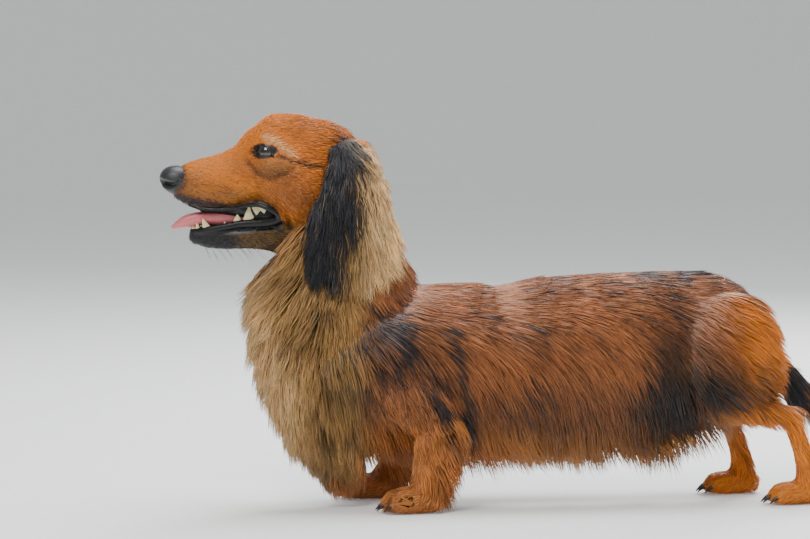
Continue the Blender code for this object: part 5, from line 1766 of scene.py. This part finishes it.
# %% Grow the coat of each side
BACK_EDGE = 0.12
FORELEG, HINDLEG = (*LIMB_PARTS[:2], "fore_paw"), (*LIMB_PARTS[2:], "hind_paw")
for name, side in SIDES.items():
    grow("coat_back_" + name, ["torso"], 6000,
         lambda p, u, s=side: (p[:, 1] * s > 0) & (u > BACK_EDGE),
         locks=(60, 9), pulls=(0.2, 0.4), wave=(0.6, 40.0))
    grow("coat_flank_" + name, ["torso"], 6300,
         lambda p, u, s=side: (p[:, 1] * s > 0) & (u <= BACK_EDGE),
         locks=(60, 11), pulls=(0.25, 0.45), wave=(1.0, 40.0))
    grow("coat_neck_" + name, ["neck"], 3400, lambda p, u, s=side: p[:, 1] * s > 0,
         wave=(1.6, 36.0))
    grow("coat_ear_" + name, ["ear_" + name], 5000, locks=(80, 14), wave=(1.7, 34.0), clear=0.3)
    grow("coat_foreleg_" + name, [part + "_" + name for part in FORELEG], 3000, locks=(50, 12))
    grow("coat_hindleg_" + name, [part + "_" + name for part in HINDLEG], 3200, locks=(50, 12))

# %% Grow the coat of the middle
grow("coat_bib", ["bib"], 7000, locks=(90, 16), pulls=(0.4, 0.55), wave=(2.2, 38.0))
grow("coat_tail", ["tail"], 2400, wave=(1.3, 30.0))
grow("coat_head", ["head", "jaw"], 16000, parts=2, locks=(40, 5), pulls=(0.0, 0.3), wave=(0, 1.0),
     clear=0.12, shade=(0.8, 1.12))

# %% [markdown]
# ### Whiskers
#
# Whiskers and the long hairs of the chin are single stiff hairs. They are made as tufts are, but
# from a short table of roots, and don't gather or wave.

# %% Whiskers
WHISKER_WIDTH, WHISKER_ROOT = 0.55, 0.8


def whiskers(rows, seed):
    """Long stiff hairs: (x, z, length, fall) of their roots on one side, in the head's axes."""
    own = np.random.default_rng(seed)
    places = np.array([(x, side * 12, z, side, length, fall) for x, z, length, fall in rows
                       for side in SIDES.values()])
    at = nearest(turned_head(places[:, :3]), SKIN_POINTS)
    roots, normals = SKIN_POINTS[at], SKIN_NORMALS[at]
    way = turned_way(np.column_stack([0.75 + 0 * places[:, 0], places[:, 3] * 0.55, -places[:, 5]]))
    way = unit(way + own.normal(0, 0.12, way.shape))
    lift, droop = np.full(len(places), 0.55), np.full(len(places), 0.12)
    lines = strands(roots, normals, way, places[:, 4], lift, droop, 5)
    lines[:, 0] -= normals * WHISKER_ROOT
    return lines, normals


WHISKER_ROWS = [(-236 + 7.5 * i + 2 * row, 324 - 6 * row, 15 + 2.5 * i, 0.10 + 0.14 * row)
                for row in range(3) for i in range(5)]
CHIN_ROWS = [(-228 + 7 * i, 262, 20 + 3 * (i % 3), 2.4) for i in range(8)]
lines, normals = whiskers(WHISKER_ROWS + CHIN_ROWS, 5)
zone, share, angle = zones_of(lines[:, 0])
feelers = make_tufts("whiskers", lines, normals, np.full(len(lines), WHISKER_WIDTH),
                     lambda s: np.broadcast_to(BLUE_SHEEN_BLACK, (len(lines), len(s), 3)),
                     rolled_out(zone, share, angle))

# %% [markdown]
# ## Eyes
#
# A dog's eye is almost all dark iris. The ball is a little more curved where the clear cornea
# stands out. The iris is drawn by two numbers kept with each point, the angle out from the pupil
# and the angle round it. A thin dark rim follows the lids' edge and hides where skin and ball
# meet.

# %% The ball
def eyeball(name, side):
    """A ball round the way that the eye looks, with the cornea's bulge."""
    look, across, up = eye_axes(side)
    rings, sides = 48, 64
    theta = np.pi * np.arange(1, rings) / rings
    turn = 2 * np.pi * np.arange(sides) / sides
    radius = EYE_RADIUS - 0.25 + 0.45 * np.exp(-((theta / 0.5) ** 2))
    flat = (radius * np.sin(theta))[:, None, None]
    round_it = across * np.cos(turn)[None, :, None] + up * np.sin(turn)[None, :, None]
    centre = EYE_CENTRE * [1, side, 1]
    grid = centre + flat * round_it + look * (radius * np.cos(theta))[:, None, None]
    ends = np.array([centre + look * (EYE_RADIUS + 0.2), centre - look * (EYE_RADIUS - 0.25)])
    points, faces = capped(grid, ends)
    obj = outwards(make_object(name, turned_head(points), faces))
    away = unit(points - centre)
    angle = np.arccos(np.clip(away @ look, -1, 1))
    around = np.arctan2(away @ up, away @ across)
    value_attribute(obj, angle, "Outward")
    value_attribute(obj, np.abs(around), "Around")
    return obj


print("an eye is", 2 * EYE_RADIUS, "mm across")


# %% The finish of the eye
def eye_finish():
    """Pupil, iris and rim as rings of colour by the angle from the middle, under a wet gloss."""
    made, tree, shader = finish("eye_wet", 0.04, Coat_Weight=1.0, Coat_Roughness=0.02)
    outward, around = attribute(tree, "Outward")["Fac"], attribute(tree, "Around")["Fac"]
    pair = node(tree, "ShaderNodeCombineXYZ", {"X": around, "Y": outward}).outputs["Vector"]
    spokes = node(tree, "ShaderNodeTexNoise", noise_dimensions="2D")
    plug(tree, spokes, {"Vector": pair, "Scale": 9.0})
    wobble = node(tree, "ShaderNodeMath", {0: spokes.outputs["Fac"], 1: 0.08, 2: outward},
                  operation="MULTIPLY_ADD")
    rings = node(tree, "ShaderNodeValToRGB", {"Fac": wobble.outputs[0]})
    stops = ((0.0, tone(4, 4, 5)), (0.38, tone(5, 5, 5)), (0.43, tone(30, 18, 12)),
             (0.60, tone(44, 26, 16)), (0.68, tone(8, 7, 7)), (0.80, tone(46, 40, 40)))
    ramp = rings.color_ramp
    while len(ramp.elements) < len(stops):
        ramp.elements.new(0.5)
    for element, (at, colour) in zip(ramp.elements, stops):
        element.position = at
        element.color = (*colour, 1)
    plug(tree, shader, {"Base Color": rings.outputs["Color"]})
    return made


EYE_WET = eye_finish()
print("finish:", EYE_WET.name, "with", len(EYE_WET.node_tree.nodes), "nodes")


# %% The rims of the lids
def lid_rim(name, side):
    """The lids' dark edge: a closed ring of small ovals along the almond, just off the ball."""
    look, across, up = eye_axes(side)
    steps, sides = 120, 12
    turn = 2 * np.pi * np.arange(steps) / steps
    share = np.sign(np.cos(turn)) * np.abs(np.cos(turn)) ** 0.9
    a = share * np.where(share < 0, LID_INWARD, LID_OUTWARD)
    height = lid_line(share, np.sin(turn) > 0)
    line = a[:, None] * across + height[:, None] * up + lid_depth(a, height, RIM_PROUD)[:, None] * look
    radial = unit(line + look * 6)
    along = unit(np.roll(line, -1, axis=0) - np.roll(line, 1, axis=0))
    sideways = unit(np.cross(along, radial))
    size = 0.85 + 0.25 * (np.sin(turn) > 0) + 0.5 * np.exp(-(((share + 1) / 0.25) ** 2))
    ring = 2 * np.pi * np.arange(sides) / sides
    oval = (radial[:, None] * np.sin(ring)[None, :, None] * 0.8
            + sideways[:, None] * np.cos(ring)[None, :, None])
    grid = line[:, None] + size[:, None, None] * oval
    points = turned_head(grid.reshape(-1, 3) + EYE_CENTRE * [1, side, 1])
    ring_index, side_index = np.meshgrid(np.arange(steps), np.arange(sides), indexing="ij")
    after, next_side = (ring_index + 1) % steps, (side_index + 1) % sides
    quads = np.stack([ring_index * sides + side_index, after * sides + side_index,
                      after * sides + next_side, ring_index * sides + next_side], axis=-1)
    return outwards(make_object(name, points, [quads.reshape(-1, 4)]))


RIM_SKIN = grained("rim_skin", 0.32, tone(24, 21, 22), 2600, 0.5, 0.3, 0.0003)
for name, side in SIDES.items():
    ball = eyeball("eyeball_" + name, side)
    ball.data.materials.append(EYE_WET)
    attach(ball, "root")
    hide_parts("eye_" + name)
    rim = lid_rim("lid_rim_" + name, side)
    rim.data.materials.append(RIM_SKIN)
    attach(rim, "root")
print("eyes at", np.round(EYE_CENTRE, 1))

# %% [markdown]
# ## Nose
#
# The nose leather is a blunt pad with a groove down its middle and two comma-shaped nostrils,
# each a deep hollow that runs back into a slit at the side. A row of the nostril's line is its
# (x, y, z) from the nose's middle, the hollow's radius and its depth. The grain is of pebbles.

# %% The nose pad
NOSTRIL = np.array([
    (-12.0, 6.2, -1.2, 4.4, 7.0), (-9.0, 9.4, -2.4, 4.8, 7.0), (-5.0, 12.0, -3.0, 4.0, 5.0),
    (0.0, 13.8, -2.2, 2.6, 3.2), (4.5, 14.6, 0.4, 1.8, 2.0),
])


def nose_pad():
    """A superellipsoid whose lower front slopes back, with hollows pushed into its front."""
    rings, sides = 96, 132
    lat = np.pi * (np.arange(1, rings) / rings - 0.5)
    turn = 2 * np.pi * np.arange(sides) / sides
    c, s = np.cos(lat)[:, None], np.sin(lat)[:, None]
    wide = np.sign(np.cos(turn)) * np.abs(np.cos(turn)) ** 0.85 * c**0.75
    high = np.sign(np.sin(turn)) * np.abs(np.sin(turn)) ** 0.85 * c**0.75
    wide = wide * (1 - 0.30 * np.maximum(0, -np.sin(turn)))
    grid = np.stack([s * NOSE_LENGTH / 2 + 0 * wide, wide * NOSE_WIDTH / 2, high * NOSE_HEIGHT / 2],
                    axis=-1)
    grid[..., 0] += 0.5 * np.maximum(0, -grid[..., 2] - 1)
    ends = np.array([[-NOSE_LENGTH / 2, 0, 0], [NOSE_LENGTH / 2, 0, 0]])
    points, faces = capped(grid, ends)
    inward = unit(points * [1.0, 1.1, 1.2])
    depth = np.zeros(len(points))
    for side in SIDES.values():
        for x, y, z, radius, deep in through(np.arange(5.0), NOSTRIL, np.linspace(0, 4, 25)):
            away = np.linalg.norm((points - [x, side * y, z]) * [0.8, 1, 1.15], axis=1)
            depth = np.maximum(depth, deep * np.exp(-((away / radius) ** 3)))
    groove = np.exp(-(points[:, 1] ** 2)) * (points[:, 0] < -4)
    depth = depth + 1.1 * (groove * smooth_step(-points[:, 2], -5, 3))
    return points - inward * depth[:, None] + NOSE_CENTRE, faces, depth


nose_points, nose_faces, nose_depth = nose_pad()
leather = outwards(make_object("nose_leather", turned_head(nose_points), nose_faces))
value_attribute(leather, np.clip(nose_depth / 4, 0, 1), "HollowShade")
print("nose leather:", len(nose_points), "points, hollows", round(float(nose_depth.max()), 1), "mm deep")


# %% The nose's finish
def leather_finish():
    """Black leather with pebbles, with painted shade that darkens the nostrils and the middle groove by
    their depth.
    """
    made, tree, shader = finish("nose_leather", 0.38)
    place = node(tree, "ShaderNodeTexCoord").outputs["Object"]
    pebbles = node(tree, "ShaderNodeTexVoronoi", {"Vector": place, "Scale": 1250}, feature="SMOOTH_F1")
    # Painted shade: the leather turns near black with the depth of the nostrils and the groove.
    blend = node(tree, "ShaderNodeMix", data_type="RGBA")
    plug(tree, blend, {"A": (*tone(34, 35, 38), 1), "B": (*tone(4, 4, 4), 1),
                       "Factor": attribute(tree, "HollowShade")["Fac"]})
    raised_up = node(tree, "ShaderNodeBump", invert=True)
    plug(tree, raised_up, {"Strength": 0.45, "Distance": 0.0005, "Height": pebbles.outputs["Distance"]})
    plug(tree, shader, {"Base Color": blend.outputs["Result"], "Normal": raised_up.outputs["Normal"]})
    return made


leather.data.materials.append(leather_finish())
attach(leather, "root")
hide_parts("nose")

# %% [markdown]
# ## Tongue, teeth and claws
#
# The tongue lies between the lower teeth and over their edge, with a groove along its middle.
# Teeth and claws are curved cones: the long fang in front, the small teeth between the fangs, and
# the broad cutting teeth behind. A row of the table is one tooth of the left side: its root, its
# tip, its half length and half thickness, and how far it bends rearwards.

# %% Tongue
points, faces = TONGUE.shell(90, 64, 8)
share = points[:, 1] / np.maximum(np.abs(points[:, 1]).max(), 1)
top = smooth_step(points[:, 2] - np.interp(points[:, 0], TONGUE.rows[:, 0], TONGUE.rows[:, 2]), -1, 1)
points[:, 2] -= top * (2.2 * np.exp(-((points[:, 1] / 2.6) ** 2)) - 1.6 * share**2)
tongue_top = outwards(make_object("tongue_flesh", turned_head(points), faces))
TONGUE_WET = grained("tongue_wet", 0.3, tone(196, 106, 110), 1500, 0.35, 0.35, 0.0004,
                     Subsurface_Weight=0.15, Subsurface_Radius=(0.003, 0.001, 0.001))
tongue_top.data.materials.append(TONGUE_WET)
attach(tongue_top, "root")
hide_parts("tongue")
print("tongue:", len(points), "points")


# %% Teeth
def tooth_shell(root, tip, long, thick, bend=0.0):
    """A curved cone: an oval at the root that shrinks to the tip as (1 - s^1.6), bent rearwards."""
    root, tip = np.array(root, float), np.array(tip, float)
    s = np.linspace(0, 0.97, 14)
    turn = 2 * np.pi * np.arange(16) / 16
    line = root + (tip - root) * s[:, None] + np.array([bend, 0, 0]) * (s**2)[:, None]
    size = (1 - s**1.6)[:, None, None] * 0.94 + 0.06
    oval = np.stack([long * np.cos(turn), thick * np.sin(turn), 0 * turn], axis=-1)
    grid = line[:, None] + size * oval[None]
    return capped(grid, np.array([root - (tip - root) * 0.05, tip + [bend, 0, 0]]))


TEETH = [
    ((-221.0, 11.2, 277.0), (-226.5, 12.3, 290.5), 5.2, 2.6, -0.6),
    ((-236.0, 1.6, 275.0), (-238.0, 1.6, 284.0), 2.8, 1.7, 0.0),
    ((-234.8, 5.2, 275.0), (-236.8, 5.6, 284.8), 3.0, 1.7, 0.0),
    ((-231.0, 8.6, 275.0), (-232.8, 9.2, 286.2), 3.4, 1.9, 0.0),
    ((-205.0, 13.6, 281.0), (-205.2, 13.8, 287.5), 2.6, 1.5, 0.0),
    ((-192.5, 15.2, 284.5), (-192.5, 16.4, 294.8), 5.0, 1.9, 0.0),
    ((-180.5, 17.2, 286.0), (-181.0, 19.2, 302.5), 6.8, 2.4, 0.0),
    ((-232.5, 10.0, 302.0), (-231.5, 11.4, 297.5), 1.9, 1.5, 0.4),
    ((-173.0, 20.0, 303.5), (-173.5, 22.6, 294.5), 5.4, 2.2, 0.0),
    ((-167.0, 21.4, 303.0), (-166.0, 23.0, 296.0), 5.6, 2.2, 0.0),
]
shells = [
    tooth_shell(np.array(root) * [1, side, 1], np.array(tip) * [1, side, 1], long, thick, bend)
    for root, tip, long, thick, bend in TEETH for side in SIDES.values()
]
points, faces = joined(shells)
teeth = outwards(make_object("teeth", turned_head(points), faces))
IVORY = grained("tooth_ivory", 0.25, tone(206, 196, 150), 500, 0.4, 0.05, 0.0003)
teeth.data.materials.append(IVORY)
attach(teeth, "root")
print("teeth:", len(shells))


# %% Claws
def claw_shells(name, paw):
    """Four claws of a paw: cones that run forward and drop by 6.5 * s^1.8 towards the floor."""
    x, y, length, width, height = paw_sizes(name, paw)
    shells = []
    for across, further in TOE_OFFSETS:
        ty, reach = y + across * width, length * (0.40 + further)
        root = np.array([x - reach - height * 0.06, ty, height * 0.34])
        s = np.linspace(0, 0.95, 12)
        turn = 2 * np.pi * np.arange(12) / 12
        line = np.stack([root[0] - 9.5 * s, np.full(12, ty), root[2] - 6.5 * s**1.8], axis=-1)
        size = (2.1 * (1 - s**2) ** 0.7 + 0.25)[:, None, None]
        oval = np.stack([0 * turn, 0.8 * np.cos(turn), np.sin(turn)], axis=-1)
        tip = line[-1] + [-0.4, 0, -0.4]
        shells.append(capped(line[:, None] + size * oval[None], np.array([root + [1, 0, 0], tip])))
    return shells


shells = [shell for name in SIDES for paw in LEG_ENDS for shell in claw_shells(name, paw)]
points, faces = joined(shells)
points[:, 2] = np.maximum(points[:, 2], FLOOR_GAP)
claws = outwards(make_object("claws", points, faces))
HORN = grained("claw_horn", 0.3, tone(34, 28, 26), 700, 0.6, 0.1, 0.0003)
claws.data.materials.append(HORN)
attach(claws, "root")
print("claws:", len(shells))

# %% [markdown]
# ## Floor, light and camera
#
# A pale floor that curves up into a wall far behind, and that glows faintly, as a lit wall does.
# One large soft light stands above the camera's left, a broad one hangs overhead, and a weaker
# one behind edges the coat with light. The camera is the photograph's: far off, with a long
# lens, a little above the dog's middle.

# %% Floor
def backdrop():
    """A floor that bends up into a wall, in metres: straight, a quarter circle, straight."""
    half, start, bend, top = 8.0, 5.0, 2.0, 6.0
    angle = np.linspace(0, np.pi / 2, 24)
    y = np.concatenate([[-half], start + bend * np.sin(angle), [start + bend]])
    z = np.concatenate([[0.0], bend * (1 - np.cos(angle)), [top]])
    x = np.array([-half, half])
    grid = np.stack(np.broadcast_arrays(x[None, :], y[:, None], z[:, None]), axis=-1)
    k = np.arange(len(y) - 1)
    faces = np.column_stack([2 * k, 2 * k + 1, 2 * k + 3, 2 * k + 2])
    return make_object("backdrop", grid.reshape(-1, 3) / MM - SHIFT, [faces])


floor = backdrop()
PAPER = grained("backdrop_paper", 0.9, tone(226, 226, 222), 60, 0.03, 0.05, 0.0005,
                Emission_Color=(0.80, 0.82, 0.84, 1), Emission_Strength=0.18)
floor.data.materials.append(PAPER)
floor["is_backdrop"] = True
print("backdrop:", np.round(floor.dimensions, 1), "m")


# %% Light
def soft_light(name, place, aim, size, power, colour):
    """A square soft box at a place, facing a point, both in metres."""
    lamp = bpy.data.lights.new(name, "AREA")
    lamp.size, lamp.energy, lamp.color = size, power, colour
    obj = bpy.data.objects.new(name, lamp)
    bpy.context.scene.collection.objects.link(obj)
    way = np.array(aim, float) - np.array(place, float)
    obj.location = place
    obj.rotation_euler = Vector(way).to_track_quat("-Z", "Y").to_euler()
    return obj


soft_light("key", (-1.0, -1.7, 2.0), (0, 0, 0.2), 1.1, 50, (1.0, 0.97, 0.93))
soft_light("overhead", (0.2, 0.3, 2.4), (0, 0, 0.2), 1.6, 82, (0.92, 0.96, 1.0))
soft_light("edge", (1.0, 1.5, 1.3), (0, 0, 0.25), 0.8, 40, (0.96, 0.98, 1.0))
world = bpy.data.worlds.new("studio")
bpy.context.scene.world = world
world.use_nodes = True
sky = world.node_tree.nodes["Background"]
sky.inputs["Color"].default_value = (0.93, 0.95, 1.0, 1)
sky.inputs["Strength"].default_value = 0.48
print("lights:", ", ".join(lamp.name for lamp in bpy.data.lights))

# %% Camera
PHOTO_WIDTH, FOCAL_PIXELS = 810, 4000
CAMERA_AIM = (np.array([-25.0, 0.0, 237.5]) + SHIFT) * MM
CAMERA_AZIMUTH, CAMERA_ELEVATION, CAMERA_DISTANCE = math.radians(-8), math.radians(4.5), 4.0
camera = bpy.data.objects.new("camera", bpy.data.cameras.new("camera"))
bpy.context.scene.collection.objects.link(camera)
bpy.context.scene.camera = camera
camera.data.sensor_width = 36.0
camera.data.lens = FOCAL_PIXELS / PHOTO_WIDTH * camera.data.sensor_width
back = np.array([
    math.sin(CAMERA_AZIMUTH) * math.cos(CAMERA_ELEVATION),
    -math.cos(CAMERA_AZIMUTH) * math.cos(CAMERA_ELEVATION), math.sin(CAMERA_ELEVATION),
])
camera.location = CAMERA_AIM + back * CAMERA_DISTANCE
camera.rotation_euler = (math.pi / 2 - CAMERA_ELEVATION, 0.0, CAMERA_AZIMUTH)
camera.data.clip_start, camera.data.clip_end = 0.1, 50
print("camera", round(CAMERA_DISTANCE, 1), "m off, lens", round(camera.data.lens), "mm")

# %% [markdown]
# ## Finish
#
# Last, the triangles of the shown pieces are counted.

# %% Count the triangles
triangles = [sum(len(face.vertices) - 2 for face in piece.data.polygons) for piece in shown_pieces()]
print("pieces", len(triangles), "triangles", sum(triangles), "largest", max(triangles))
